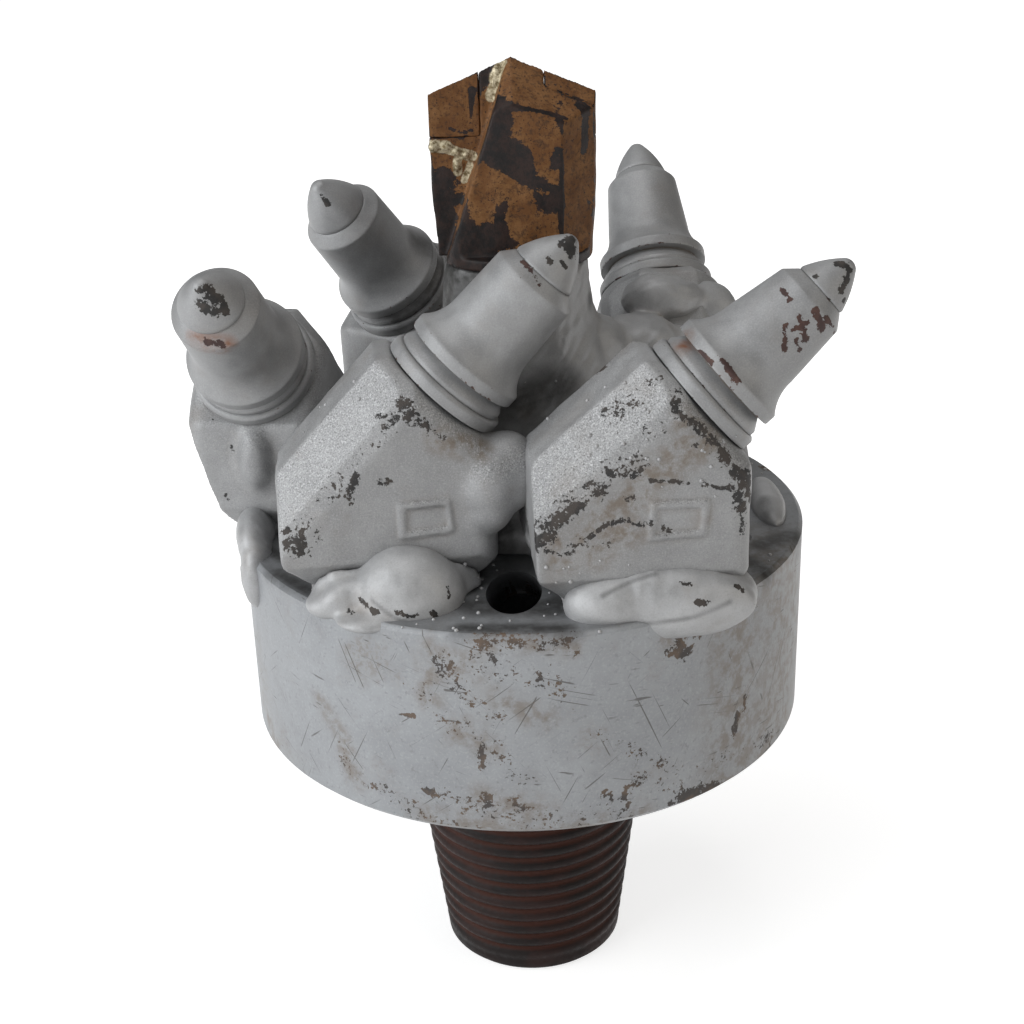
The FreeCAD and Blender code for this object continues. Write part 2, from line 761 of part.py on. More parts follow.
# Weld bead round a holder's foot, trimmed by the holder, the hub and the crown's rim
def make_weld(station, others):
    blank = new_body("weld_blank_" + station)
    stand_at_station(blank, station)
    foot = "-#station_{}_rise".format(station)
    lean = "#station_{}_lean".format(station)
    sketch = new_sketch(blank, "XY_Plane", "bead_outline")
    front = "#holder_chin * sin({}) - #holder_front_bevel + #weld_end_reach".format(lean)
    back = "-#holder_tail + #holder_tail_bevel - #weld_end_reach"
    half = "(#holder_width / 2 + #weld_reach)"
    corner = "#weld_corner_round"
    draw_outline(sketch, [
        (back + " + " + corner, "-" + half),
        (front + " - " + corner, "-" + half),
        (front, "-" + half + " + " + corner),
        (front, half + " - " + corner),
        (front + " - " + corner, half),
        (back + " + " + corner, half),
        (back, half + " - " + corner),
        (back, "-" + half + " + " + corner),
    ])
    sketch.setExpression("AttachmentOffset.Base.z", name_sizes(foot))
    pad = blank.newObject("PartDesign::Pad", "bead")
    pad.Profile = sketch
    pad.Type = "Length"
    pad.setExpression("Length", name_sizes("#weld_height"))
    pad.TaperAngle = -1.0
    taper = "-atan(#weld_reach / #weld_height)"
    pad.setExpression("TaperAngle", name_sizes(taper))
    doc.recompute()
    clear = boolean("Part::Common", "weld_in_rim_" + station, blank, doc.getObject("rim_limit"))
    doc.recompute()
    near = [solid for solid in others if clear.Shape.BoundBox.intersect(solid.Shape.BoundBox)]
    for number, solid in enumerate(near):
        clear = boolean("Part::Cut", "weld_{}_off_{}".format(station, number), clear, solid)
    return largest_solid("foot_weld_" + station, clear)


def make_rim_limit():
    """A round space that the weld beads keep inside."""
    limit = doc.addObject("Part::Cylinder", "rim_limit")
    limit.setExpression("Radius", name_sizes("#crown_radius + #weld_rim_reach"))
    limit.setExpression("Height", name_sizes("#hub_height"))
    limit.setExpression("Placement.Base.z", name_sizes("#pin_length + #crown_height"))


# Pick: shank, flange, puller groove, collar and flared body with a socket for the tip
def make_pick(station):
    body = new_body("pick_" + station)
    stand_at_station(body, station)
    back = "#washer_gap + #washer_thickness"
    groove = back + " + #flange_thickness + #groove_length"
    collar = groove + " + #collar_length"
    flare = "sqrt(#flare_radius ^ 2 - (#flare_radius - #collar_radius + #waist_radius) ^ 2)"
    nose = collar_front() + " + #body_length - #collar_length"
    seat = nose + " + #nose_cone_length"
    journal = "#bore_radius - #journal_clearance"
    worn = "#station_{}_nose_wear".format(station)
    sketch = pick_sketch(body, station, "pick_outline")
    draw_outline(sketch, [
        ("0", "-#shank_depth"),
        ("#head_radius - #head_chamfer", "-#shank_depth"),
        ("#head_radius", "-#shank_depth + #head_chamfer"),
        ("#head_radius", "-#shank_depth + #head_length"),
        ("#neck_radius", "-#shank_depth + #head_length"),
        ("#neck_radius", "-#journal_depth"),
        (journal, "-#journal_depth"),
        (journal, back),
        ("#flange_radius", back),
        ("#flange_radius", back + " + #flange_thickness"),
        ("#groove_radius", groove),
        ("#collar_radius", groove),
        ("#collar_radius", collar),
        ("#waist_radius", collar + " + " + flare),
        ("#nose_radius - " + worn, nose),
        ("#seat_radius - " + worn, seat),
        ("#socket_radius", seat),
        ("#socket_radius", seat + " - #socket_depth"),
        ("0", seat + " - #socket_depth"),
    ], {12: ("#flare_radius", 1)})
    revolve(body, sketch, "pick_turned")
    return body


def collar_front():
    """Distance from the holder's end face to the front of the pick's collar."""
    return ("#washer_gap + #washer_thickness + #flange_thickness + #groove_length"
            " + #collar_length")


# Carbide tip: a plug in the pick's nose and a rounded cutting cone
def make_tip(station):
    body = new_body("carbide_tip_" + station)
    stand_at_station(body, station)
    seat = collar_front() + " + #body_length - #collar_length + #nose_cone_length"
    plug = "#socket_radius - #socket_clearance"
    rim = "#seat_radius - #station_{}_nose_wear".format(station)
    length = "#tip_length - #station_{}_tip_wear".format(station)
    cap = "(#tip_round_radius - sqrt(#tip_round_radius ^ 2 - #tip_round_width ^ 2))"
    sketch = pick_sketch(body, station, "tip_outline")
    draw_outline(sketch, [
        ("0", seat + " - #socket_depth + #socket_clearance"),
        (plug, seat + " - #socket_depth + #socket_clearance"),
        (plug, seat),
        (rim, seat),
        (rim, seat + " + #tip_land"),
        ("#tip_round_width", seat + " + {} - {}".format(length, cap)),
        ("0", seat + " + " + length),
    ], {4: ("#tip_flank_radius", -1), 5: ("#tip_round_radius", -1)})
    revolve(body, sketch, "tip_turned")
    return body


# Wear washer between the pick's flange and the holder
def make_washer(station):
    body = new_body("wear_washer_" + station)
    stand_at_station(body, station)
    front = "#washer_gap + #washer_thickness"
    sketch = pick_sketch(body, station, "washer_outline")
    draw_outline(sketch, [
        ("#washer_bore_radius", "#washer_gap"),
        ("#washer_radius", "#washer_gap"),
        ("#washer_radius", front + " - #washer_edge"),
        ("#washer_radius - #washer_edge", front),
        ("#washer_bore_radius", front),
    ])
    revolve(body, sketch, "washer_turned")
    return body


# Split spring sleeve that grips the holder's bore round the pick's neck
def make_sleeve(station):
    body = new_body("spring_sleeve_" + station)
    stand_at_station(body, station)
    inner = "#neck_radius + #sleeve_neck_clearance"
    outer = "#bore_radius - #sleeve_bore_clearance"
    low = "-#shank_depth + #head_length + #sleeve_end_gap"
    high = "-#journal_depth - #sleeve_end_gap"
    sketch = pick_sketch(body, station, "sleeve_outline")
    draw_outline(sketch, [(inner, low), (outer, low), (outer, high), (inner, high)])
    revolve(body, sketch, "sleeve_rolled", arc="#sleeve_angle")
    return body


def is_sound(item):
    states = [state for state in item.State if state in ("Invalid", "Error")]
    return not states


def export(item):
    shape = item.Shape
    if shape.isNull() or not shape.isValid():
        raise ValueError(item.Label + " has no valid shape")
    print(item.Label, "solids", len(shape.Solids), "volume", round(shape.Volume, 1))
    shape.exportStep("parts/" + item.Label + ".step")


fill_sheet()
make_rim_limit()
pieces = [make_threaded_pin(), make_crown()]
holders = {station: make_holder(station) for station in STATIONS}
hub = make_hub(holders)
welds = {}
pieces += [hub, make_pilot_pieces()]
pieces += [doc.getObject("pilot_insert_left"), doc.getObject("pilot_insert_right")]
for station, holder in holders.items():
    others = [*holders.values(), doc.getObject("hub_mass"), *welds.values()]
    welds[station] = make_weld(station, others)
    pieces += [holder, welds[station]]
    pieces += [make_pick(station), make_tip(station), make_washer(station), make_sleeve(station)]
doc.recompute()

for item in doc.Objects:
    if not is_sound(item):
        raise ValueError(item.Label + " failed")

os.makedirs("parts", exist_ok=True)
for piece in pieces:
    export(piece)
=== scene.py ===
# %% [markdown]
# # Dressing a jet grouting bit
# The construction model gives every solid of the bit in its true place: a crown on a
# threaded pin, a hub with a pilot bit, and five holders with turning picks.
# This notebook loads those solids and puts a finely shaped, painted piece over each.

# %% Load the construction model
import math
import random

import bmesh
import bpy
import numpy as np
from mathutils import Matrix, Vector, noise
from mathutils.bvhtree import BVHTree


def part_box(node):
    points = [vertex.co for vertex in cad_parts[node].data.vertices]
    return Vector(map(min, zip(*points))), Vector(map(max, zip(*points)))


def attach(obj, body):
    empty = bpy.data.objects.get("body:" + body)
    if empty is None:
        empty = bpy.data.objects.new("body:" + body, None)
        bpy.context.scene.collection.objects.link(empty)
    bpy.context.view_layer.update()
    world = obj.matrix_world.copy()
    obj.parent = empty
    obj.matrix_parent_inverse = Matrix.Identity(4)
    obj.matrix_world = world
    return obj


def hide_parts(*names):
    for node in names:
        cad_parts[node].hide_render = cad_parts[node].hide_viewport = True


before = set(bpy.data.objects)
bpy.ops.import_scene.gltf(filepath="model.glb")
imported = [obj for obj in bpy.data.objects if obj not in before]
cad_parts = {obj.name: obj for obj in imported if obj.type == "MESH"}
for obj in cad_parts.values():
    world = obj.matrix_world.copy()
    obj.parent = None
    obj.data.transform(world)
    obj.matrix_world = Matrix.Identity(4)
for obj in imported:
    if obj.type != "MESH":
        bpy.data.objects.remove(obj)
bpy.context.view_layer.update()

MM = 0.001
CROWN_BOTTOM = 86.5
CROWN_TOP = 144.5
CROWN_RADIUS = 80.0
scene = bpy.context.scene
print("construction solids:", len(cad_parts))

# %% [markdown]
# ## The camera
# The photograph looks down on the crown from the front, about 23 degrees above it.
# A long lens keeps the far picks nearly as large as the near ones. The camera comes
# first, because chips and stains are later placed along its lines of sight.

# %% Place the camera
PHOTO_SIZE = 1024
LENS = 56.78
SENSOR = 36
CAMERA_RISE = 0.405
CAMERA_DISTANCE = 0.468
CAMERA_ROLL = -0.0275
SHIFT = (-10.8 / PHOTO_SIZE, -4.6 / PHOTO_SIZE)

to_camera = Vector((0, -math.cos(CAMERA_RISE), math.sin(CAMERA_RISE)))
level_right = Vector((1, 0, 0))
level_up = to_camera.cross(level_right)
camera_right = level_right * math.cos(CAMERA_ROLL) + level_up * math.sin(CAMERA_ROLL)
camera_up = level_up * math.cos(CAMERA_ROLL) - level_right * math.sin(CAMERA_ROLL)
eye = Vector((0, 0, CROWN_TOP * MM)) + to_camera * CAMERA_DISTANCE

camera_data = bpy.data.cameras.new("photo_camera")
camera_data.lens = LENS
camera_data.sensor_width = SENSOR
camera_data.shift_x, camera_data.shift_y = SHIFT
camera = bpy.data.objects.new("photo_camera", camera_data)
turn = Matrix((camera_right, camera_up, to_camera)).transposed().to_4x4()
camera.matrix_world = Matrix.Translation(eye) @ turn
scene.collection.objects.link(camera)
scene.camera = camera
print("camera at", [round(v, 4) for v in eye])

# %% [markdown]
# A pixel of the 1024 by 1024 photograph is a line in space. Following it until it
# meets a piece tells where on that piece a chip or a stain lies.

# %% Turn a pixel into a line of sight
def sight_line(pixel):
    focal = LENS / SENSOR * PHOTO_SIZE
    across = (pixel[0] - PHOTO_SIZE / 2 + SHIFT[0] * PHOTO_SIZE) / focal
    up = (PHOTO_SIZE / 2 - pixel[1] + SHIFT[1] * PHOTO_SIZE) / focal
    return (camera_right * across + camera_up * up - to_camera).normalized()


print("middle of the frame looks along", [round(v, 3) for v in sight_line((512, 512))])

# %% [markdown]
# ## Shaping tools
# Most parts of the bit were either turned on a lathe or forged and cast. A turned part
# is an outline spun about an axis. The spin operator does that, and a small bevel on
# its sharp rings catches the light as a machined corner does.

# %% Spin an outline into a turned part
SHARP_RING = 0.45


def turned(outline, segments, step=None, edge=0.3):
    """A closed or axis-to-axis outline of (radius, height) in mm, spun full circle."""
    bm = bmesh.new()
    points = [bm.verts.new((r * MM, 0, z * MM)) for r, z in outline]
    ends = list(zip(points, points[1:]))
    if outline[0][0] > 0 or outline[-1][0] > 0:
        ends.append((points[-1], points[0]))
    runs = [bm.edges.new(pair) for pair in ends]
    if step:
        for run in runs:
            cuts = int(run.calc_length() / (step * MM))
            if cuts:
                bmesh.ops.subdivide_edges(bm, edges=[run], cuts=cuts)
    bmesh.ops.spin(bm, geom=bm.verts[:] + bm.edges[:], cent=(0, 0, 0), axis=(0, 0, 1),
                   angle=2 * math.pi, steps=segments, use_merge=True)
    bmesh.ops.remove_doubles(bm, verts=bm.verts, dist=1e-7)
    bmesh.ops.recalc_face_normals(bm, faces=bm.faces)
    if edge:
        sharp = [e for e in bm.edges if e.is_manifold and e.calc_face_angle() > SHARP_RING]
        bmesh.ops.bevel(bm, geom=sharp, offset=edge * MM, offset_type="OFFSET",
                        affect="EDGES", segments=2, profile=0.5, material=-1,
                        clamp_overlap=True)
    return bm


sample = turned([(0, 0), (5, 0), (5, 5), (0, 5)], 32)
print("a test disc has", len(sample.faces), "faces")
sample.free()

# %% [markdown]
# Forged and cast parts have no truly sharp corner, and weld metal flows into lumps.
# A copy of the construction solid is merged, rebuilt as an even skin of small squares
# and smoothed a little, which rounds every corner by about the same radius. Lumps put
# into the copy before the rebuild melt into it, just as weld metal does.

# %% Bring meshes into the scene and out of it again
def put_in_scene(bm, name):
    mesh = bpy.data.meshes.new(name)
    bm.to_mesh(mesh)
    bm.free()
    thing = bpy.data.objects.new(name, mesh)
    scene.collection.objects.link(thing)
    return thing


def take_out(thing):
    mesh = thing.data
    bpy.data.objects.remove(thing)
    bpy.data.meshes.remove(mesh)


def after_modifiers(thing):
    """What an object's modifiers make of its mesh; the object itself is taken out."""
    bpy.context.view_layer.update()
    seen = thing.evaluated_get(bpy.context.evaluated_depsgraph_get())
    result = bpy.data.meshes.new_from_object(seen)
    take_out(thing)
    made = bmesh.new()
    made.from_mesh(result)
    bpy.data.meshes.remove(result)
    return made


# %% Make a cast or welded skin from a construction solid
def solid_copy(node):
    bm = bmesh.new()
    bm.from_mesh(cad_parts[node].data)
    bmesh.ops.remove_doubles(bm, verts=bm.verts, dist=2e-6)
    return bm


def add_lump(bm, centre, size, heading=0, tilt=0):
    """A ball stretched to three half sizes in mm and turned; its centre is in metres."""
    rotation = (Matrix.Rotation(math.radians(heading), 4, "Z")
                @ Matrix.Rotation(math.radians(tilt), 4, "Y"))
    place = Matrix.Translation(centre) @ rotation @ Matrix.Diagonal([s * MM for s in size] + [1])
    bmesh.ops.create_icosphere(bm, subdivisions=4, radius=1.0, matrix=place)


def even_skin(bm, name, voxel, rounds):
    """Rebuild a mesh as an even skin and smooth its corners."""
    rough = put_in_scene(bm, name + "_rough")
    remesh = rough.modifiers.new("even_skin", "REMESH")
    remesh.mode = "VOXEL"
    remesh.voxel_size = voxel * MM
    smooth = rough.modifiers.new("soft_corners", "SMOOTH")
    smooth.factor = 0.5
    smooth.iterations = rounds
    return after_modifiers(rough)


print("shaping tools ready")

# %% [markdown]
# Every finished piece stands for one construction solid and rides on the same body,
# so the picks still turn in their holders. Cast and welded skins are shaded smooth all
# over, because their corners are really round. Turned pieces keep their sharp rings.

# %% Put a piece in the place of its solid
SHARP_EDGE = math.radians(35)


def finish_piece(bm, name, node, paint, body="bit"):
    piece = put_in_scene(bm, name)
    piece.data.polygons.foreach_set("use_smooth", [True] * len(piece.data.polygons))
    piece.data.materials.append(paint)
    if node:
        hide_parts(node)
    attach(piece, body)
    return piece


# %% [markdown]
# ## Wear maps
# Paint wears off where metal sticks out, and paint is browner where it sinks in. Comparing
# each point with its neighbours along the surface normal tells which is which, and the
# result is stored with the mesh, in layers of one number a point, for the materials.

# %% Read a mesh and keep layers of numbers on it
def read(items, name, width=1, kind=np.float32):
    """One property of many mesh items, as an array with a row for each."""
    values = np.empty(len(items) * width, kind)
    items.foreach_get(name, values)
    return values.reshape(-1, width) if width > 1 else values


def keep_layer(piece, name, values):
    layer = piece.data.attributes.get(name)
    if layer is None:
        layer = piece.data.attributes.new(name, "FLOAT", "POINT")
    layer.data.foreach_set("value", np.asarray(values, np.float32))


def kept_layer(piece, name):
    """The layer as it is, or zeros where the piece has none by that name yet."""
    layer = piece.data.attributes.get(name)
    if layer is None:
        return np.zeros(len(piece.data.vertices), np.float32)
    return read(layer.data, "value")


print("layers can be kept and read")


# %% Measure corners and hollows
def corners(mesh, rounds):
    """Positive where the surface bulges, negative where it sinks, smoothed along it."""
    count = len(mesh.vertices)
    place = read(mesh.vertices, "co", 3)
    facing = read(mesh.vertex_normals, "vector", 3)
    one, two = read(mesh.edges, "vertices", 2, np.int32).T
    step = place[two] - place[one]
    length = np.maximum(np.linalg.norm(step, axis=1), 1e-6)
    bend = np.bincount(one, -(step * facing[one]).sum(1) / length ** 2, count)
    bend += np.bincount(two, (step * facing[two]).sum(1) / length ** 2, count)
    near = np.maximum(np.bincount(one, minlength=count) + np.bincount(two, minlength=count), 1)
    bend /= near
    for _ in range(rounds):
        total = np.bincount(one, bend[two], count) + np.bincount(two, bend[one], count)
        bend = 0.5 * bend + 0.5 * total / near
    return bend


def map_wear(piece, radius, rounds=3):
    """Store edge and hollow layers: 1 where the corner is as tight as radius in mm."""
    bend = corners(piece.data, rounds) * radius * MM * 2
    keep_layer(piece, "edge", np.clip(bend, 0, 1))
    keep_layer(piece, "hollow", np.clip(-bend, 0, 1))


print("wear maps ready")

# %% [markdown]
# Chips and stains that the photograph shows in one place are brushed on along short
# strokes. Each stroke is a few pixels long, follows the lines of sight onto the piece
# and fades out over its width. The far side, which the photograph does not show, gets
# the same kind of wear at chance spots on its corners.

# %% Brush marks onto a piece
FAR_SIDE = -0.1
CORNER_WEAR = 0.3
FAR_STRENGTH = 0.8


def soft_edge(away):
    """1 up to 0.3 of the brush's reach, then down to 0 at 1.3 of it."""
    return np.clip(1.3 - away, 0, 1)


def search_tree(mesh):
    return BVHTree.FromPolygons([v.co for v in mesh.vertices],
                                [p.vertices[:] for p in mesh.polygons])


def brush(piece, layer_name, strokes, strength=1.0):
    """Strokes are (width in mm, pixel, pixel, ...)."""
    tree = search_tree(piece.data)
    place = read(piece.data.vertices, "co", 3)
    cover = kept_layer(piece, layer_name)
    for width, *pixels in strokes:
        hits = [tree.ray_cast(eye, sight_line(pixel))[0] for pixel in pixels]
        hits = [np.array(hit) for hit in hits if hit is not None]
        for start, end in zip(hits, hits[1:] or hits):
            run = end - start
            along = np.clip((place - start) @ run / max(run @ run, 1e-12), 0, 1)
            away = np.linalg.norm(place - start - along[:, None] * run, axis=1)
            cover = np.maximum(cover, strength * soft_edge(away / (width * MM)))
    keep_layer(piece, layer_name, np.clip(cover, 0, 1))


def scuff_far_side(piece, layer_name, seed, count, reach):
    """Guessed wear where the camera does not look: soft spots on the corners there."""
    place = read(piece.data.vertices, "co", 3)
    facing = read(piece.data.vertex_normals, "vector", 3)
    turned_away = facing @ np.array(to_camera) < FAR_SIDE
    far = np.flatnonzero(turned_away & (kept_layer(piece, "edge") > CORNER_WEAR))
    cover = kept_layer(piece, layer_name)
    chance = random.Random(seed)
    for _ in range(count if len(far) else 0):
        spot = place[chance.choice(far)]
        away = np.linalg.norm(place - spot, axis=1) / (chance.uniform(0.35, 1) * reach * MM)
        cover = np.maximum(cover, FAR_STRENGTH * soft_edge(away))
    keep_layer(piece, layer_name, cover)


print("brushes ready")

# %% [markdown]
# ## Materials
# All materials are built from the same few steps: noise patterns in the object's own
# coordinates, soft thresholds, and colour mixes. A wire is one value on its way through
# a material. Adding and multiplying wires puts in the nodes that do so, and thus each
# recipe below reads like a formula.

# %% Put in nodes and run wires between them
def step_node(tree, kind, inputs, **settings):
    """Add a node; its inputs are numbers and colours to set, or wires to connect."""
    made = tree.nodes.new(kind)
    for key, value in settings.items():
        setattr(made, key, value)
    plug(made, inputs)
    return made


def plug(node, inputs):
    for key, value in inputs.items():
        value = getattr(value, "socket", value)
        if isinstance(value, bpy.types.NodeSocket):
            node.id_data.links.new(value, node.inputs[key])
        else:
            node.inputs[key].default_value = value


class Wire:
    """One value in a material."""

    def __init__(self, socket):
        self.socket = socket
        self.tree = socket.id_data

    def joined(self, operation, other, use_clamp=False):
        return Wire(step_node(self.tree, "ShaderNodeMath", {0: self, 1: other},
                              operation=operation, use_clamp=use_clamp).outputs[0])

    def __add__(self, other):
        return self.joined("ADD", other)

    def __sub__(self, other):
        return self.joined("SUBTRACT", other)

    def __mul__(self, other):
        return self.joined("MULTIPLY", other)

    def fade(self, low, high, bottom=0.0, top=1.0):
        """A soft threshold: bottom under low, top over high."""
        return Wire(step_node(self.tree, "ShaderNodeMapRange",
                              {0: self, 1: low, 2: high, 3: bottom, 4: top},
                              interpolation_type="SMOOTHSTEP").outputs[0])


def largest(first, *others):
    for other in others:
        first = first.joined("MAXIMUM", other)
    return first


def colour(share, first, second):
    """Blend from first to second, each a wire or red, green and blue."""
    ends = [end if isinstance(end, Wire) else (*end, 1) for end in (first, second)]
    return Wire(step_node(share.tree, "ShaderNodeMix", {0: share, 6: ends[0], 7: ends[1]},
                          data_type="RGBA").outputs[2])


print("nodes and wires ready")


# %% Start and finish a material
class Recipe:
    """A new material with its noises, brushed layers and shader."""

    def __init__(self, name):
        self.material = bpy.data.materials.new(name)
        self.material.use_nodes = True
        self.tree = self.material.node_tree
        self.where = step_node(self.tree, "ShaderNodeTexCoord", {}).outputs["Object"]

    def noise(self, scale, detail=3.0, rough=0.55, where=None):
        """Noise between about 0.3 and 0.7, with features of about 1 / scale metres."""
        return Wire(step_node(self.tree, "ShaderNodeTexNoise",
                              {"Vector": where or self.where, "Scale": scale,
                               "Detail": detail, "Roughness": rough}).outputs["Fac"])

    def layer(self, name):
        return Wire(step_node(self.tree, "ShaderNodeAttribute", {},
                              attribute_name=name).outputs["Fac"])

    def finish(self, base, roughness, height, relief, depth=0.5, metallic=0.0, specular=0.5):
        """Wire the shader up; height is the relief's shape, depth its size in mm."""
        bump = step_node(self.tree, "ShaderNodeBump",
                         {"Height": height, "Strength": relief, "Distance": depth * MM})
        plug(self.tree.nodes["Principled BSDF"],
             {"Base Color": base, "Roughness": roughness, "Metallic": metallic,
              "Specular IOR Level": specular, "Normal": bump.outputs[0]})
        return self.material


print("recipes can be started and finished")

# %% [markdown]
# ### Silver paint
# The whole head was sprayed with aluminium paint, then used. The paint is a grey that
# shifts a little from place to place, with a fine grain of light and dark specks that
# is strongest where the rough layer says so. Brown dust lies on top in its own layer;
# soot and painted shade share another. Where the chip layer, the edge layer and three
# ragged noises add up to enough, the paint is gone and dark oxidised steel shows.

# %% Steps shared by all the paints
DUST = (0.165, 0.125, 0.088)
# Near-black for soot, used for painted shade as well
SOOT_AND_SHADE = (0.030, 0.029, 0.027)
RUST = (0.22, 0.085, 0.035)


def worn_away(recipe, edge_share):
    """A ragged mask of lost paint, specked at its rim as flaking paint is."""
    ragged = recipe.noise(420, 8, 0.7)
    speck = recipe.noise(1100, 3, 0.6)
    broad = recipe.noise(110, 4)
    need = recipe.layer("edge") * edge_share + recipe.layer("chips") * 0.62
    return (need + ragged + speck * 0.9 + broad * 0.5).fade(1.59, 1.64)


def dirtied_and_shaded(recipe, paint, film):
    """Brown film by share, then the dust layer and the layer of soot and painted shade, each
    broken up by noise.
    """
    cloud = recipe.noise(260, 7, 0.65)
    paint = colour(film, paint, DUST)
    brown = recipe.layer("dust") * cloud.fade(0.4, 0.62, 0.15, 1)
    paint = colour(brown * 0.75, paint, DUST)
    # One layer darkens the paint for soot and for painted shade alike
    soot_and_shade_share = recipe.layer("soot_and_shade") * cloud.fade(0.3, 0.6, 0.75, 1)
    return colour(soot_and_shade_share, paint, SOOT_AND_SHADE)


print("dust, soot and rust:", DUST, SOOT_AND_SHADE, RUST)

# %% Mix the silver paint
PAINT_LIGHT = (0.355, 0.356, 0.36)
PAINT_SHADE = (0.275, 0.276, 0.28)
LIGHT_GRAIN = (0.62, 0.62, 0.63)
DARK_GRAIN = (0.12, 0.118, 0.115)


def silver_paint(name, grain, chipping, dust, relief, bare, lift=1.0):
    recipe = Recipe(name)
    broad = recipe.noise(45)
    middle = recipe.noise(220, 5)
    fine = recipe.noise(2500, 2, 0.6)
    tone = broad.fade(0.35, 0.65, 0, 0.55) + middle.fade(0.35, 0.65, 0, 0.45)
    paint = colour(tone, [v * lift for v in PAINT_SHADE], [v * lift for v in PAINT_LIGHT])
    coarse = (recipe.layer("rough") * 0.6).joined("ADD", grain, use_clamp=True)
    paint = colour(fine.fade(0.5, 0.72) * coarse, paint, LIGHT_GRAIN)
    paint = colour(fine.fade(0.46, 0.3) * coarse, paint, DARK_GRAIN)
    film = recipe.noise(70, 6).fade(0.5, 0.75) * dust
    # Hollows get a share of the brown film, so the paint is browner where the surface sinks in
    film = film.joined("ADD", recipe.layer("hollow") * 0.6, use_clamp=True)
    paint = dirtied_and_shaded(recipe, paint, film * middle.fade(0.35, 0.6, 0.4, 1))
    stain = recipe.layer("rust") * middle.fade(0.35, 0.6, 0.2, 0.9)
    paint = colour(stain, paint, RUST)
    gone = worn_away(recipe, chipping)
    steel = colour(middle.fade(0.4, 0.62), *bare)
    return recipe.finish(base=colour(gone, paint, steel),
                         metallic=gone.fade(0, 1, 0.28, 0.12),
                         roughness=middle.fade(0.3, 0.7, 0.44, 0.56) + gone * 0.15,
                         height=fine * coarse * 1.1 + middle * 0.7 - gone * 0.3,
                         relief=relief)


BLACK_STEEL = ((0.022, 0.021, 0.021), (0.062, 0.052, 0.046))
RED_STEEL = ((0.042, 0.020, 0.018), (0.095, 0.050, 0.040))
casting_paint = silver_paint("paint_on_forged_steel", 0.22, 0.20, 0.30, 0.45, BLACK_STEEL)
turned_paint = silver_paint("paint_on_turned_steel", 0.16, 0.30, 0.25, 0.25, RED_STEEL)
tip_paint = silver_paint("paint_on_carbide", 0.12, 0.25, 0.30, 0.22, BLACK_STEEL)
weld_paint = silver_paint("paint_on_weld_metal", 0.16, 0.12, 0.40, 0.42, BLACK_STEEL, 1.32)
print("silver paints:", casting_paint.name, turned_paint.name, tip_paint.name, weld_paint.name)

# %% [markdown]
# ### Crown paint with scratches
# The crown's side has been rolled over concrete and hit by tools. Its surface is
# unrolled: the way round it in millimetres and the height. Noise stretched very long in
# one direction gives thin streaks with tapering ends, and only its highest crests are
# kept, in patches, as scratches. Each set has its own slant, length and width.

# %% Lay scratches on the unrolled side
# Slant in degrees, length and width in mm, then how rare its patches and its lines are
SCRATCHES = [(4, 4.5, 0.6, 0.54, 0.67), (47, 26, 0.42, 0.53, 0.685),
             (-38, 16, 0.36, 0.53, 0.685), (66, 30, 0.42, 0.53, 0.685),
             (17, 24, 0.38, 0.52, 0.685), (-62, 22, 0.36, 0.53, 0.685)]


def unrolled(recipe):
    """Way round the crown and height, both in mm, and a mask of the side wall."""
    x, y, z = map(Wire, step_node(recipe.tree, "ShaderNodeSeparateXYZ",
                                  {0: recipe.where}).outputs)
    around = x.joined("ARCTAN2", y * -1.0)
    reach = (x * x + y * y).joined("POWER", 0.5)
    flat = step_node(recipe.tree, "ShaderNodeCombineXYZ",
                     {0: around * CROWN_RADIUS, 1: z * (1 / MM)}).outputs[0]
    return flat, reach.fade((CROWN_RADIUS - 1.5) * MM, (CROWN_RADIUS - 0.8) * MM)


def scratch_set(recipe, flat, slant, length, width, keep, crest):
    """Streaks at a slant in degrees, about length by width in mm, kept in patches."""
    slanted = step_node(recipe.tree, "ShaderNodeVectorRotate",
                        {"Vector": flat, "Angle": math.radians(slant)},
                        rotation_type="Z_AXIS").outputs[0]
    place = slanted
    for operation, values in (("MULTIPLY", (0.55 / length, 0.55 / width, 1.0)),
                              ("ADD", (slant, 3.0 * slant, slant))):
        place = step_node(recipe.tree, "ShaderNodeVectorMath", {0: place, 1: values},
                          operation=operation).outputs[0]
    line = recipe.noise(1.0, 1, 0.4, place).fade(crest, crest + 0.05)
    patch = recipe.noise(0.045, 3, 0.6, slanted).fade(keep, keep + 0.05)
    return line * patch


print("sets of scratches:", len(SCRATCHES))


# %% Mix the scratched crown paint
def crown_paint():
    recipe = Recipe("paint_on_crown")
    flat, side = unrolled(recipe)
    broad = recipe.noise(30)
    middle = recipe.noise(160, 6)
    fine = recipe.noise(1500, 2)
    speck = recipe.noise(750, 5, 0.65)
    tone = broad.fade(0.35, 0.65, 0, 0.5) + middle.fade(0.35, 0.65, 0, 0.5)
    paint = colour(tone, (0.288, 0.297, 0.311), (0.352, 0.364, 0.380))
    paint = colour(fine.fade(0.5, 0.75, 0, 0.14), paint, (0.66, 0.67, 0.69))
    paint = colour(speck.fade(0.44, 0.3, 0, 0.35), paint, (0.16, 0.155, 0.15))
    cloud = recipe.noise(55, 8, 0.62).fade(0.5, 0.74)
    paint = dirtied_and_shaded(recipe, paint, cloud * speck.fade(0.42, 0.62, 0.1, 0.55))
    gone = worn_away(recipe, 0.25)
    lines = largest(*[scratch_set(recipe, flat, *values) for values in SCRATCHES]) * side
    marked = colour(lines * 0.72, paint, (0.075, 0.068, 0.062))
    steel = colour(middle.fade(0.38, 0.6), (0.045, 0.036, 0.032), (0.13, 0.085, 0.055))
    return recipe.finish(base=colour(gone * 0.9, marked, steel),
                         metallic=gone.fade(0, 1, 0.26, 0.1),
                         roughness=(gone + middle).fade(0.3, 1.2, 0.44, 0.68),
                         height=fine * 0.12 + middle * 0.6 - largest(lines, gone) * 0.3,
                         relief=0.35)


scratched_paint = crown_paint()
print("crown paint ready")

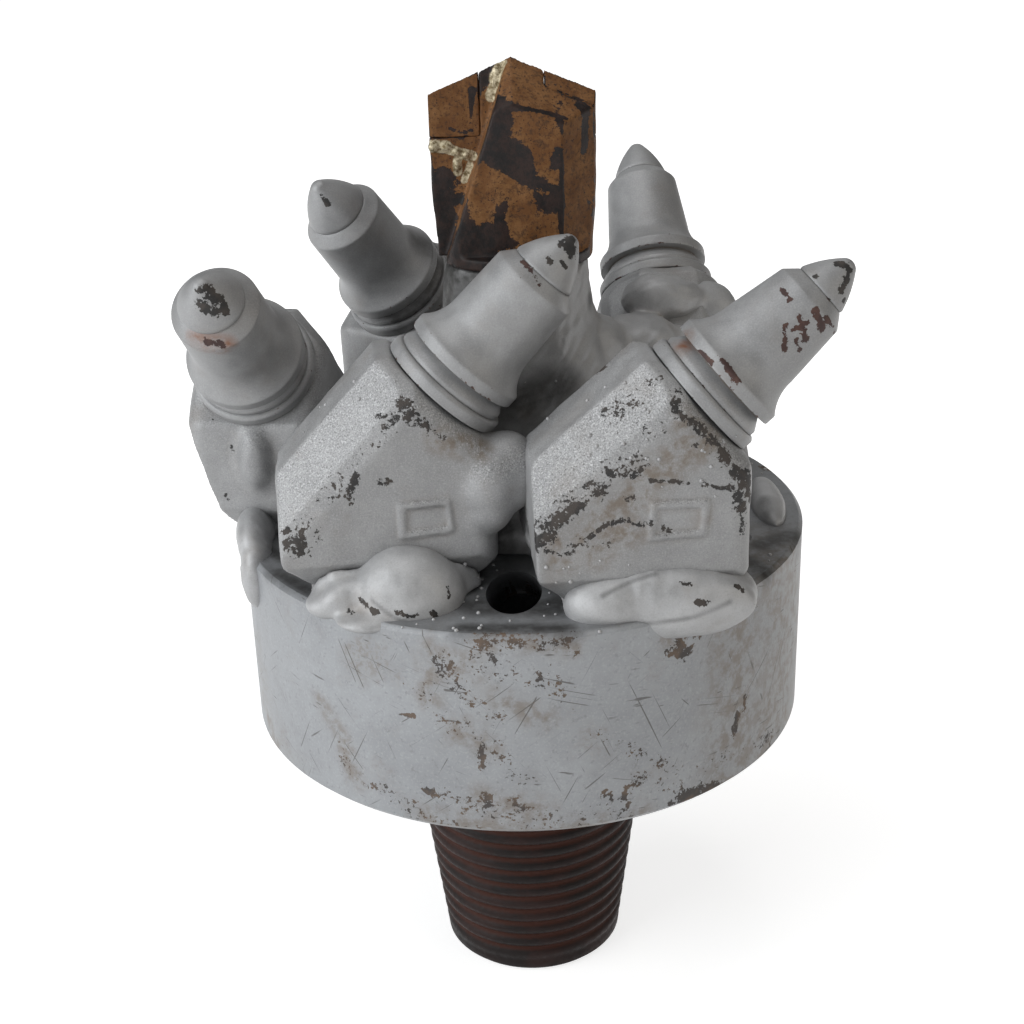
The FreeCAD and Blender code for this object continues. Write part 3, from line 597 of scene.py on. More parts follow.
# %% [markdown]
# ### Pilot, thread and springs
# The pilot bit still carries patches of ochre primer over black forging scale, with
# bright brass braze round its carbide plates. The thread below is oiled, rusty steel:
# dark brown crests and redder roots.

# %% Mix the pilot's worn primer
def pilot_finish():
    recipe = Recipe("ochre_primer_over_scale")
    broad = recipe.noise(70, 4)
    ragged = recipe.noise(300, 10, 0.7)
    speck = recipe.noise(900, 5, 0.65)
    primer = colour(recipe.noise(150, 8, 0.7).fade(0.38, 0.64),
                    (0.135, 0.056, 0.018), (0.225, 0.108, 0.040))
    primer = colour(speck.fade(0.49, 0.64, 0, 0.7), primer, (0.060, 0.031, 0.016))
    pits = recipe.noise(1500, 3, 0.6).fade(0.6, 0.66)
    primer = colour(pits * 0.8, primer, (0.018, 0.012, 0.010))
    scale = colour(ragged.fade(0.42, 0.62), (0.010, 0.008, 0.008), (0.030, 0.017, 0.014))
    need = ragged + broad * 0.75 + speck * 0.45 + recipe.layer("edge") * 0.3
    need = need + recipe.layer("bare") * 0.7 - recipe.layer("primer") * 0.7
    bare = need.fade(1.25, 1.29)
    braze = (recipe.layer("braze") + ragged * 0.9).fade(0.88, 1.1)
    brass = colour(speck.fade(0.35, 0.62), (0.16, 0.12, 0.06), (0.60, 0.53, 0.38))
    return recipe.finish(base=colour(braze, colour(bare, primer, scale), brass),
                         metallic=braze.fade(0, 1, 0.05, 0.5),
                         roughness=bare.fade(0, 1, 0.62, 0.48), specular=0.25,
                         height=ragged * 0.7 + speck * 0.35 - bare * 0.25, relief=0.55)


pilot_skin = pilot_finish()
print("pilot finish ready")


# %% Mix the rusty thread and the spring steel
def thread_finish():
    recipe = Recipe("oiled_rusty_thread")
    broad = recipe.noise(60, 5)
    fine = recipe.noise(700, 5, 0.65)
    crests = colour(broad.fade(0.38, 0.62), (0.013, 0.0095, 0.009), (0.027, 0.0145, 0.013))
    roots = (recipe.layer("root") + fine * 0.5).fade(0.55, 1.15, 0, 0.8)
    return recipe.finish(base=colour(roots, crests, (0.050, 0.0155, 0.009)),
                         roughness=fine.fade(0.3, 0.7, 0.42, 0.62), specular=0.16,
                         height=fine, relief=0.35, depth=0.3)


def spring_finish():
    recipe = Recipe("spring_steel")
    broad = recipe.noise(300, 6, 0.6)
    fine = recipe.noise(2700, 3)
    tone = (broad * 0.7 + fine * 0.3).fade(0.4, 0.62)
    return recipe.finish(base=colour(tone, (0.11, 0.11, 0.12), (0.2, 0.2, 0.21)),
                         roughness=fine.fade(0.3, 0.7, 0.27, 0.45), metallic=0.9,
                         height=broad + fine, relief=0.1, depth=0.3)


thread_skin = thread_finish()
spring_steel = spring_finish()
print("metals:", thread_skin.name, spring_steel.name)

# %% [markdown]
# ## The crown
# The crown is a thick turned disc, bored from below for the pin's collar and for the
# water chamber. It is spun from its outline, and three slanted flushing ports are then
# cut through it into the chamber, as a drill would.

# %% Turn the crown
def cut_away(bm, name, cutter):
    """Subtract one closed mesh from another and return the result."""
    whole = put_in_scene(bm, name)
    tool = put_in_scene(cutter, name + "_cutter")
    cut = whole.modifiers.new("cut", "BOOLEAN")
    cut.operation = "DIFFERENCE"
    cut.solver = "EXACT"
    cut.object = tool
    made = after_modifiers(whole)
    take_out(tool)
    return made


LOWER_BEVEL = 2.0
UPPER_BEVEL = 1.2
SOCKET_RADIUS = 38.12
SOCKET_DEPTH = 14.02
CHAMBER_RADIUS = 16.0
ROOF = 12.0
low, high = CROWN_BOTTOM, CROWN_TOP
crown = turned([
    (SOCKET_RADIUS, low), (CROWN_RADIUS - LOWER_BEVEL, low), (CROWN_RADIUS, low + LOWER_BEVEL),
    (CROWN_RADIUS, high - UPPER_BEVEL), (CROWN_RADIUS - UPPER_BEVEL, high),
    (0, high), (0, high - ROOF), (CHAMBER_RADIUS, high - ROOF),
    (CHAMBER_RADIUS, low + SOCKET_DEPTH), (SOCKET_RADIUS, low + SOCKET_DEPTH),
], 288, step=1.6, edge=0.0)
print("crown faces before drilling:", len(crown.faces))

# %% Drill the flushing ports
PORT_AZIMUTHS = (267.0, 337.0, 80.0)
PORT_TILT = math.radians(54.0)
PORT_REACH = 55.5
PORT_RADIUS = 7.25
PAST_MOUTH = 15.0
for azimuth in PORT_AZIMUTHS:
    around = math.radians(azimuth)
    out = Vector((math.cos(around), math.sin(around), 0))
    along = out * math.sin(PORT_TILT) + Vector((0, 0, math.cos(PORT_TILT)))
    mouth = out * PORT_REACH * MM + Vector((0, 0, CROWN_TOP * MM))
    start = mouth - along * (PORT_REACH * MM / math.sin(PORT_TILT))
    middle = (start + mouth + along * PAST_MOUTH * MM) / 2
    depth = (mouth + along * PAST_MOUTH * MM - start).length
    drill = bmesh.new()
    bmesh.ops.create_cone(drill, cap_ends=True, segments=64,
                          radius1=PORT_RADIUS * MM, radius2=PORT_RADIUS * MM, depth=depth,
                          matrix=Matrix.Translation(middle)
                          @ along.to_track_quat("Z", "Y").to_matrix().to_4x4())
    crown = cut_away(crown, "crown", drill)
print("crown faces after drilling:", len(crown.faces))

# %% [markdown]
# The real crown shows brown scuffs along its front edge, a rusty chip on the right,
# and a dark lower rim where it stood in mud. Those are brushed on. The rest of its
# wear comes from the paint's own noise, and from chance scuffs on the far side.

# %% Marks seen on the crown
# Every stroke of these tables is a width in mm and the pixels it passes
# Soot round the front port, and painted shade in the recesses left of holder a and right of
# holder b
CROWN_SOOT_AND_SHADE = [
    (9, (480, 606), (560, 606)), (6, (466, 590), (470, 560)), (7, (560, 575), (566, 600)),
    (3.5, (276, 572), (312, 592)), (3, (262, 545), (285, 560)), (6, (762, 545), (790, 535)),
    (4, (748, 560), (765, 572)), (4, (462, 628), (568, 628)),
]
CROWN_CHIPS = [
    (2.2, (676, 626), (680, 640), (682, 655)), (2.2, (690, 628), (702, 632)),
    (1.6, (668, 652), (690, 650)), (1.6, (565, 642), (572, 640)),
    (1.3, (572, 650), (576, 656)), (3.0, (684, 797), (700, 792), (716, 786)),
    (2.0, (672, 803), (690, 802)), (1.8, (514, 800), (524, 808)),
    (1.6, (486, 794), (490, 800)), (1.5, (606, 792), (610, 798)),
    (1.5, (628, 788), (624, 798)), (1.8, (738, 712), (734, 734)),
    (1.2, (404, 714), (416, 717)), (1.4, (480, 752), (482, 768)),
    (1.2, (424, 790), (430, 792)), (1.2, (745, 695), (744, 712)),
]
CROWN_SPECKS = [
    (3.5, (480, 642), (570, 642)), (5.0, (440, 660), (456, 690)),
    (4.0, (462, 700), (500, 716)), (4.0, (462, 724), (484, 740)),
    (5.0, (420, 690), (444, 722)), (4.0, (340, 742), (350, 770)),
    (5.0, (470, 806), (560, 820)), (5.0, (580, 818), (630, 808)),
    (4.0, (700, 768), (770, 735)), (4.0, (360, 775), (410, 806)),
    (4.0, (600, 735), (680, 770)), (4.0, (640, 780), (680, 790)),
    (6.0, (480, 660), (560, 690)), (5.0, (490, 740), (520, 780)),
    (4.0, (425, 790), (470, 805)),
    (2.6, (420, 815), (480, 828), (560, 831), (620, 826), (690, 806)),
]
CROWN_DUST = [
    (3.5, (480, 642), (540, 642), (572, 648)), (5, (440, 660), (470, 668)),
    (4, (430, 650), (430, 700)), (4, (460, 730), (490, 748)), (5, (480, 800), (540, 812)),
    (5, (470, 826), (600, 824)), (4, (640, 812), (720, 785), (770, 750)),
    (5, (700, 800), (760, 762)), (4, (344, 745), (356, 778)), (4, (264, 700), (276, 742)),
    (4, (430, 815), (470, 826)), (4, (738, 690), (735, 740)), (3, (666, 640), (676, 640)),
    (7, (788, 600), (780, 720)), (4, (500, 700), (545, 720)), (3, (320, 700), (345, 740)),
    (3.5, (430, 818), (480, 828), (560, 831), (620, 826), (700, 804)),
]
CROWN_SIDE_DUST = [(22, (782, 560), (786, 650), (772, 740)), (14, (740, 640), (735, 760))]
print("strokes on the crown:", len(CROWN_SOOT_AND_SHADE + CROWN_CHIPS + CROWN_SPECKS + CROWN_DUST))


# %% Put the crown in place and brush its marks
TOP_FACE = CROWN_TOP - 0.3
TOP_FACE_DARKENING = 0.42


def place_crown(bm):
    piece = finish_piece(bm, "crown_disc", "crown_body", scratched_paint)
    piece.data.set_sharp_from_angle(angle=SHARP_EDGE)
    map_wear(piece, 2.0, 1)
    heights = np.array([v.co.z for v in piece.data.vertices])
    # The whole top face is darkened by a fixed share
    keep_layer(piece, "soot_and_shade", np.where(heights > TOP_FACE * MM, TOP_FACE_DARKENING, 0.0))
    brush(piece, "soot_and_shade", CROWN_SOOT_AND_SHADE, 0.9)
    brush(piece, "chips", CROWN_CHIPS)
    brush(piece, "chips", CROWN_SPECKS, 0.52)
    brush(piece, "dust", CROWN_DUST, 0.8)
    brush(piece, "dust", CROWN_SIDE_DUST, 0.85)
    scuff_far_side(piece, "chips", 5, 44, 6.5)
    return piece


crown_disc = place_crown(crown)
print("crown disc triangles:", sum(len(p.vertices) - 2 for p in crown_disc.data.polygons))

# %% [markdown]
# ## The threaded pin
# A taper thread is one helical groove. The plain cone is spun first with many fine
# rows, and each point is then pushed inwards by how near the groove passes it. The
# groove runs out softly at both ends, and its depth is kept for the rust colour.

# %% How deep the thread is at a point of the pin
THREAD_PITCH = 5.08
THREAD_DEPTH = 1.2
GROOVE_NARROWING = 1.3
THREAD_START, START_FADE = 3, 6
THREAD_END, END_FADE = CROWN_BOTTOM - 2, 4
OUTER_SKIN = 24


def cut_thread(piece):
    depths = []
    for vertex in piece.data.vertices:
        x, y, z = vertex.co / MM
        radius = math.hypot(x, y)
        depth = 0.0
        if radius > OUTER_SKIN and z < THREAD_END + 1:
            turn_share = (z / THREAD_PITCH - math.atan2(y, x) / (2 * math.pi)) % 1.0
            groove = (0.5 + 0.5 * math.cos(2 * math.pi * turn_share)) ** GROOVE_NARROWING
            fading = min(1.0, (z - THREAD_START) / START_FADE, (THREAD_END - z) / END_FADE)
            depth = groove * max(0.0, fading)
        if depth:
            share = 1 - depth * THREAD_DEPTH / radius
            vertex.co = Vector((vertex.co.x * share, vertex.co.y * share, vertex.co.z))
        depths.append(depth)
    keep_layer(piece, "root", depths)


print("threads per inch:", 25.4 / THREAD_PITCH)


# %% Spin the pin
PIN_ROWS = 190
PIN_FOOT_BEVEL = 1.5
PIN_SMALL_RADIUS = 27.3
PIN_LARGE_RADIUS = 38.1
PIN_CONE_HEIGHT = 85.0
PIN_TOP = 100.5
cone_rows = [(PIN_SMALL_RADIUS + (PIN_LARGE_RADIUS - PIN_SMALL_RADIUS) * i / PIN_ROWS,
              PIN_FOOT_BEVEL + PIN_CONE_HEIGHT * i / PIN_ROWS) for i in range(PIN_ROWS + 1)]
pin = turned([(CHAMBER_RADIUS, 0), (PIN_SMALL_RADIUS - PIN_FOOT_BEVEL, 0)] + cone_rows
             + [(PIN_LARGE_RADIUS, PIN_TOP), (CHAMBER_RADIUS, PIN_TOP)], 224, edge=0.0)
thread_pin = finish_piece(pin, "thread_pin", "threaded_pin", thread_skin)
cut_thread(thread_pin)
print("thread pin points:", len(thread_pin.data.vertices))

# %% [markdown]
# ## The hub and the weld beads
# The hub was built up with weld metal, so its sides ripple. The beads round each
# holder's foot are crescents of weld laid one beside the next. Each piece starts from
# its construction solid, gets lumps where the photograph shows them and is rebuilt as
# one skin. Ripples follow as wavering rings round a point, one ring for each stop of
# the welder's hand.

# %% Find where a line of sight meets the construction solids
solid_trees = {name: search_tree(solid.data) for name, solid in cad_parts.items()
               if not name.startswith("spring_sleeve")}


def touch(pixel):
    """The nearest point on the construction solids behind a pixel, with its normal."""
    ray = sight_line(pixel)
    best = None
    for tree in solid_trees.values():
        spot, normal, _, distance = tree.ray_cast(eye, ray)
        if spot is not None and (best is None or distance < best[2]):
            best = (spot, normal, distance)
    return best


print("the front port is seen at", [round(v, 4) for v in touch((514, 640))[0]])


# %% Lay ripples on weld metal
def ripple(piece, centre, pitch, height, reach):
    """Shallow wavering rings round a centre, as a weld pool leaves them; sizes in mm."""
    mesh = piece.data
    place = read(mesh.vertices, "co", 3)
    facing = read(mesh.vertex_normals, "vector", 3)
    away = np.linalg.norm(place - np.array(centre, np.float32), axis=1) / MM
    waver = np.array([noise.noise(v.co * 90) for v in mesh.vertices])
    wave = np.sin(2 * math.pi * (away / pitch + waver)) * np.clip(1 - away / reach, 0, 1)
    wave *= np.clip(0.5 + 1.2 * np.roll(waver, 7), 0.1, 1)
    place += facing * (wave * height * MM)[:, None].astype(np.float32)
    mesh.vertices.foreach_set("co", place.ravel())
    mesh.update()


def unevenness(piece, size, height, seed):
    """Broad soft dents with features of about size mm."""
    shift = Vector((seed * 7.3, seed * 3.1, seed * 5.7))
    mesh = piece.data
    normals = [v.normal.copy() for v in mesh.vertices]
    for vertex, normal in zip(mesh.vertices, normals):
        vertex.co += normal * (noise.noise(vertex.co / (size * MM) + shift) * height * MM)
    mesh.update()


print("ripples and dents ready")


# %% Lay the weld beads
# Every lump is a centre and half sizes in mm, then its heading and tilt in degrees
WELD_LUMPS = {
    "a": [
        ((-30, -58, 146), (14.5, 12, 13.5), 0, 0), ((-48, -57, 144), (9, 7, 4), 10, 0),
        ((-43, -59, 146), (10, 5.5, 6), 18, 0), ((-38, -64, 143), (11, 8, 2.6), 15, 0),
    ],
    "b": [
        ((35, -67, 146.5), (23, 7.8, 10), -4, 0), ((21, -68, 146.5), (12, 7.2, 8.6), 2, 0),
        ((50, -61.5, 146), (9, 8, 8), -20, 0), ((70.5, -2, 145), (5, 17, 4.5), 0, 0),
    ],
    "c": [
        ((-75, -17, 146), (5.2, 13, 8), 0, 0), ((-73.5, -26, 138.5), (4.8, 9, 11), 0, 0),
    ],
}
WELD_CHIPS = {
    "a": [
        (1.0, (397, 612), (408, 616), (418, 615)), (1.2, (350, 611), (352, 614)),
        (1.2, (360, 600), (366, 605)), (1.1, (372, 610), (377, 612)),
        (1.3, (432, 612), (440, 622)), (1.0, (448, 588), (449, 596)),
    ],
    "b": [
        (1.1, (682, 582), (690, 585)), (1.6, (698, 602), (706, 604)),
        (1.2, (736, 586), (742, 590)),
    ],
}
# Thin dark lines along the beads of a and b, and a dark slot beside holder b
WELD_DARK_MARKS = {
    "a": [(0.7, (372, 600), (386, 612), (404, 622)), (2.0, (455, 540), (462, 560))],
    "b": [
        (0.8, (603, 596), (630, 582), (656, 574)),
        (0.8, (640, 624), (690, 618), (730, 602)), (3.0, (765, 500), (770, 515)),
    ],
}
RIPPLE_SHIFT = Vector((0.003, 0, 0.004))


def build_weld(letter, seed):
    node = "foot_weld_" + letter
    bm = solid_copy(node)
    lumps = WELD_LUMPS.get(letter, [])
    for centre, *shape in lumps:
        add_lump(bm, Vector(centre) * MM, *shape)
    bm = even_skin(bm, node, 0.65, 40)
    piece = finish_piece(bm, "weld_bead_" + letter, node, weld_paint)
    unevenness(piece, 10, 0.5, seed)
    unevenness(piece, 3, 0.10, seed + 40)
    middle = Vector(lumps[0][0]) * MM if lumps else sum(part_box(node), Vector()) / 2
    ripple(piece, middle + RIPPLE_SHIFT, 2.8, 0.15, 26)
    map_wear(piece, 1.0)
    brush(piece, "chips", WELD_CHIPS.get(letter, []), 0.85)
    brush(piece, "soot_and_shade", WELD_DARK_MARKS.get(letter, []), 0.5)
    return piece


welds = {letter: build_weld(letter, i + 1) for i, letter in enumerate("abcde")}
print("weld triangles:", {k: 2 * len(w.data.polygons) for k, w in welds.items()})


# %% Build the hub
HUB_LUMPS = [
    ((33, 12, 190), (13, 12, 8)), ((45, 15, 187), (8, 8, 6.5)),
    ((21, 3, 192), (10, 10, 8.5)), ((42, 26, 198.5), (12, 7, 7)),
    ((56, 32, 194), (9, 7, 8)),
]
HUB_GRIME = 0.14
HUB_RIPPLE_CENTRES = ((-0.04, -0.03, 0.235), (0.07, -0.01, 0.13))
# Soot beside the front port, and painted shade where the hub lies in the gap between the holders
# higher up
HUB_SOOT_AND_SHADE = [
    (8, (505, 545), (525, 560)), (6, (500, 520), (505, 535)), (7, (515, 400), (560, 385)),
    (3, (590, 300), (596, 304)),
]
# Painted shade on the hub top just under the pilot bit, at full strength
PAINTED_SHADE_UNDER_PILOT = [(11, (446, 292), (448, 270), (490, 268))]


def build_hub():
    bm = solid_copy("hub_post")
    for centre, *shape in HUB_LUMPS:
        add_lump(bm, Vector(centre) * MM, *shape)
    bm = even_skin(bm, "hub_post", 0.7, 34)
    piece = finish_piece(bm, "welded_hub", "hub_post", weld_paint)
    unevenness(piece, 12, 1.3, 9)
    unevenness(piece, 4, 0.25, 12)
    for centre in HUB_RIPPLE_CENTRES:
        ripple(piece, centre, 3.8, 0.24, 140)
    map_wear(piece, 1.2)
    keep_layer(piece, "soot_and_shade", np.full(len(piece.data.vertices), HUB_GRIME))
    brush(piece, "soot_and_shade", HUB_SOOT_AND_SHADE, 0.8)
    brush(piece, "soot_and_shade", PAINTED_SHADE_UNDER_PILOT)
    return piece


welded_hub = build_hub()
print("hub triangles:", 2 * len(welded_hub.data.polygons))

# %% [markdown]
# ## The five pick holders
# A holder is a forging: an eight-sided barrel on an upright block, bored for the pick.
# Its corners are rounded by about a millimetre and its skin is coarse. On its near
# side two of them carry a shallow raised blank panel, modelled as four bars that melt
# into the skin.

# %% Marks seen on the holders
PANELS = {"a": ((401, 507), (448, 502), (452, 529), (403, 536)),
          "b": ((654, 506), (706, 503), (703, 533), (651, 538))}
HOLDER_CHIPS = {
    "a": [
        (3.2, (404, 410), (412, 418)), (2.4, (400, 404), (408, 404)),
        (2.0, (416, 416), (425, 424)), (1.8, (396, 418), (388, 426)),
        (1.7, (378, 416), (384, 416)), (2.2, (352, 488), (356, 478)),
        (2.0, (350, 496), (352, 502)), (1.7, (382, 482), (388, 483)),
        (3.2, (292, 546), (300, 540)), (2.4, (296, 553), (304, 545)),
        (1.6, (300, 535), (303, 531)), (1.5, (286, 532), (288, 530)),
    ],
    "b": [
        (2.4, (676, 392), (676, 412)), (2.0, (672, 414), (684, 418)),
        (2.6, (684, 420), (695, 424)), (2.4, (697, 428), (712, 440)),
        (2.0, (716, 444), (728, 458)), (3.2, (736, 472), (748, 480)),
        (2.4, (738, 495), (742, 508)), (1.6, (748, 488), (750, 500)),
        (1.6, (742, 520), (743, 535)), (3.6, (546, 530), (562, 518)),
        (3.4, (538, 542), (550, 536)), (2.2, (565, 514), (580, 506)),
        (1.6, (586, 486), (590, 484)), (1.8, (606, 470), (612, 474)),
        (1.8, (634, 476), (640, 470)), (1.0, (650, 480), (672, 481), (688, 483)),
        (0.9, (700, 484), (712, 486), (728, 489)),
        (1.3, (590, 537), (602, 528), (612, 522)),
        (1.4, (612, 524), (625, 520), (640, 524), (650, 524)),
        (1.1, (545, 550), (560, 555), (575, 552)), (1.2, (568, 545), (580, 545)),
        (1.6, (662, 527), (668, 530)), (1.4, (692, 447), (700, 444)),
        (1.4, (628, 498), (632, 498)),
    ],
    "c": [
        (0.9, (231, 446), (234, 451)), (0.8, (213, 420), (214, 421)),
        (1.2, (226, 496), (229, 500)),
    ],
}
HOLDER_SPECKS = {
    "a": [
        (4.0, (390, 424), (372, 444), (350, 466)), (4.5, (338, 484), (325, 498)),
        (4.0, (310, 515), (296, 528)), (3.0, (318, 535), (308, 550)),
        (3.0, (430, 428), (446, 440)),
    ],
    "b": [
        (5.0, (570, 505), (600, 490)), (5.0, (600, 472), (640, 462)),
        (4.0, (650, 430), (672, 424)), (3.0, (575, 540), (610, 545)),
        (3.0, (700, 445), (730, 462)), (3.5, (735, 485), (745, 520)),
        (5.0, (600, 420), (650, 390)),
    ],
}
HOLDER_DUST = {
    "a": [(5, (300, 420), (270, 470)), (4, (440, 440), (480, 448))],
    "b": [
        (6, (690, 430), (706, 440)), (6, (680, 455), (650, 480)),
        (6, (640, 490), (600, 520)), (5, (590, 530), (560, 545)),
        (5, (600, 540), (630, 532)), (4, (680, 445), (700, 452)),
        (4, (560, 560), (600, 556)),
    ],
}
HOLDER_ROUGH = {"a": 0.9, "b": 1.0, "c": 0.4}
print("strokes on the holders:", sum(map(len, (*HOLDER_CHIPS.values(), *HOLDER_SPECKS.values(),
                                                *HOLDER_DUST.values()))))

# %% Where the bores lie
# Reach from the axis, azimuth, rise over the crown, heading, lean, nose wear, tip wear
STATIONS = {
    "a": (41.6, 240.7, 49.3, 5.9, 46.9, 0.0, 0.0),
    "b": (65.8, 312.3, 49.2, 5.8, 40.7, 1.5, 1.5),
    "c": (72.7, 184.0, 46.1, 260.9, 42.7, 0.0, 1.5),
    "d": (60.8, 124.7, 51.9, 232.0, 48.5, 0.0, 0.0),
    "e": (64.5, 48.6, 49.3, 96.6, 48.7, 1.1, 0.5),
}
BORE_RADIUS = 10.35
BORE_WALL = (9, 10.6)
BORE_END, BORE_MOUTH = -46.5, -0.5


def bore_frame(letter):
    """Placing of a holder's bore: origin in its end face, Z out along the pick."""
    reach, azimuth, rise, heading, lean, _, _ = STATIONS[letter]
    around = math.radians(azimuth)
    foot = Vector((reach * math.cos(around), reach * math.sin(around), CROWN_TOP + rise)) * MM
    return (Matrix.Translation(foot) @ Matrix.Rotation(math.radians(heading), 4, "Z")
            @ Matrix.Rotation(math.radians(90 - lean), 4, "Y"))


def clear_bore(bm, letter):
    """Push the bore's wall, which the even skin left wavy, just clear of the sleeve."""
    axis = bore_frame(letter)
    back = axis.inverted()
    for vertex in bm.verts:
        local = back @ vertex.co
        radius = math.hypot(local.x, local.y)
        if (BORE_WALL[0] * MM < radius < BORE_WALL[1] * MM
                and BORE_END * MM < local.z < BORE_MOUTH * MM):
            share = BORE_RADIUS * MM / radius
            vertex.co = axis @ Vector((local.x * share, local.y * share, local.z))


print("bore of holder a starts at", [round(v, 4) for v in bore_frame("a").translation])


# %% Build the holders
def add_bar(bm, start, end, normal, width, height):
    run = (end - start).normalized()
    across = normal.cross(run)
    turn_to = Matrix((run, across, normal)).transposed().to_4x4()
    size = Matrix.Diagonal(((end - start).length + width * MM, width * MM, height * MM, 1))
    bmesh.ops.create_cube(bm, size=1.0,
                          matrix=Matrix.Translation((start + end) / 2) @ turn_to @ size)


MELT_REACH = 3


def melt_together(bm, lumps, rounds):
    """Smooth the skin near the lumps until their seams with the rest are gone."""
    def in_reach(vertex, centre, size):
        offset = vertex.co / MM - Vector(centre)
        return Vector(o / (s + MELT_REACH) for o, s in zip(offset, size)).length < 1

    near = [v for v in bm.verts if any(in_reach(v, *lump[:2]) for lump in lumps)]
    for _ in range(rounds):
        bmesh.ops.smooth_vert(bm, verts=near, factor=0.5, use_axis_x=True, use_axis_y=True,
                              use_axis_z=True)


# Weld between two holders; a centre of two numbers is a pixel of the photograph
HOLDER_LUMPS = {
    "a": [
        ((-8, -51.5, 173), (8.2, 6.2, 9.5), 0, 12),
        ((-8.5, -52, 166.5), (6.4, 5.2, 6.6), 0, 20),
        ((-4.0, -46, 178.5), (7.5, 7, 7), 0, 0), ((-2.0, -49, 173.5), (6.5, 6, 8.5), 0, 0),
    ],
    "c": [((256, 458), (5, 4, 9), 0, 0)],
}


def build_holder(letter, seed):
    node = "pick_holder_" + letter
    bm = solid_copy(node)
    lumps = [(touch(centre)[0] / MM if len(centre) == 2 else centre, *rest)
             for centre, *rest in HOLDER_LUMPS.get(letter, [])]
    for centre, *shape in lumps:
        add_lump(bm, Vector(centre) * MM, *shape)
    panel = [touch(pixel) for pixel in PANELS.get(letter, ())]
    for one, two in zip(panel, panel[1:] + panel[:1]):
        add_bar(bm, one[0], two[0], one[1], 1.1, 1.3)
    bm = even_skin(bm, node, 0.55, 5)
    if lumps:
        melt_together(bm, lumps, 60)
    clear_bore(bm, letter)
    piece = finish_piece(bm, "holder_forging_" + letter, node, casting_paint)
    unevenness(piece, 9, 0.35, seed)
    map_wear(piece, 1.6)
    slopes = np.array([v.normal.z for v in piece.data.vertices])
    share = HOLDER_ROUGH.get(letter, 0.1)
    keep_layer(piece, "rough", share * np.clip(1 - np.abs(slopes - 0.5) / 0.35, 0, 1))
    brush(piece, "chips", HOLDER_CHIPS.get(letter, []), 0.8)
    brush(piece, "chips", HOLDER_SPECKS.get(letter, []), 0.5)
    brush(piece, "dust", HOLDER_DUST.get(letter, []))
    scuff_far_side(piece, "chips", seed, 26, 4.5)
    return piece


holders = {letter: build_holder(letter, i + 20) for i, letter in enumerate("abcde")}
print("holder triangles:", {k: 2 * len(h.data.polygons) for k, h in holders.items()})

# %% [markdown]
# ## Picks, tips and washers
# Each pick is a turned steel body with a shank, a flange, a groove, a collar and a
# waist that flares in a hollow curve. A carbide tip sits in its nose, and a wear
# washer spaces it from the holder. They are spun in the bore's own frame and then
# turned into place, so they line up with the bore exactly.

# %% Points along a rounded run of an outline
def bulge(start, end, radius, side, count=14):
    """Points of an arc after start up to end; side 1 bulges left of the way, -1 right."""
    (x1, y1), (x2, y2) = start, end
    chord = math.hypot(x2 - x1, y2 - y1)
    sag = math.sqrt(radius ** 2 - chord ** 2 / 4)
    across = (-(y2 - y1) / chord, (x2 - x1) / chord)
    centre = ((x1 + x2) / 2 - side * sag * across[0], (y1 + y2) / 2 - side * sag * across[1])
    first = math.atan2(y1 - centre[1], x1 - centre[0])
    swing = math.atan2(y2 - centre[1], x2 - centre[0]) - first
    swing = (swing + math.pi) % (2 * math.pi) - math.pi
    return [(centre[0] + radius * math.cos(first + swing * i / count),
             centre[1] + radius * math.sin(first + swing * i / count))
            for i in range(1, count + 1)]


print("a quarter arc has", len(bulge((1, 0), (0, 1), 1, -1)), "points")

# %% Outlines of the pick, its tip and its washer
# Heights are measured out along the pick from the holder's end face
SHANK_END = -42
HEAD_RADIUS, HEAD_TOP = 9.6, -37
NECK_RADIUS, NECK_TOP = 8.45, -3
SHANK_RADIUS = 9.95
WASHER_BACK, WASHER_EDGE, WASHER_FRONT = 0.3, 3.1, 3.9
WASHER_BORE, WASHER_RIM, WASHER_RADIUS = 10.3, 16.3, 17.1
FLANGE_RADIUS, FLANGE_FRONT = 15.7, 5.3
GROOVE_RADIUS, GROOVE_FRONT = 13.3, 8.5
COLLAR_RADIUS, COLLAR_FRONT = 16.1, 11.5
FLARE_RADIUS, WAIST_RADIUS = 12, 12.3
NOSE_RADIUS, NOSE = 11.75, 36.6
SEAT_RADIUS, SEAT = 8.85, 39.9
SOCKET = 6
PLUG = 5.95
TIP_HEIGHT, TIP_EDGE, TIP_SIDE = 12.0, 0.8, 30
CAP_RADIUS, CAP_RIM = 2.9, 2.4


def pick_outline(wear):
    rise = math.sqrt(FLARE_RADIUS ** 2 - (FLARE_RADIUS - COLLAR_RADIUS + WAIST_RADIUS) ** 2)
    collar = (COLLAR_RADIUS, COLLAR_FRONT)
    return ([(0, SHANK_END), (HEAD_RADIUS - 1, SHANK_END), (HEAD_RADIUS, SHANK_END + 1),
             (HEAD_RADIUS, HEAD_TOP), (NECK_RADIUS, HEAD_TOP), (NECK_RADIUS, NECK_TOP),
             (SHANK_RADIUS, NECK_TOP), (SHANK_RADIUS, WASHER_FRONT),
             (FLANGE_RADIUS, WASHER_FRONT), (FLANGE_RADIUS, FLANGE_FRONT),
             (GROOVE_RADIUS, GROOVE_FRONT), (COLLAR_RADIUS, GROOVE_FRONT), collar]
            + bulge(collar, (WAIST_RADIUS, COLLAR_FRONT + rise), FLARE_RADIUS, 1)
            + [(NOSE_RADIUS - wear, NOSE), (SEAT_RADIUS - wear, SEAT), (SOCKET, SEAT),
               (SOCKET, SEAT - SOCKET), (0, SEAT - SOCKET)])


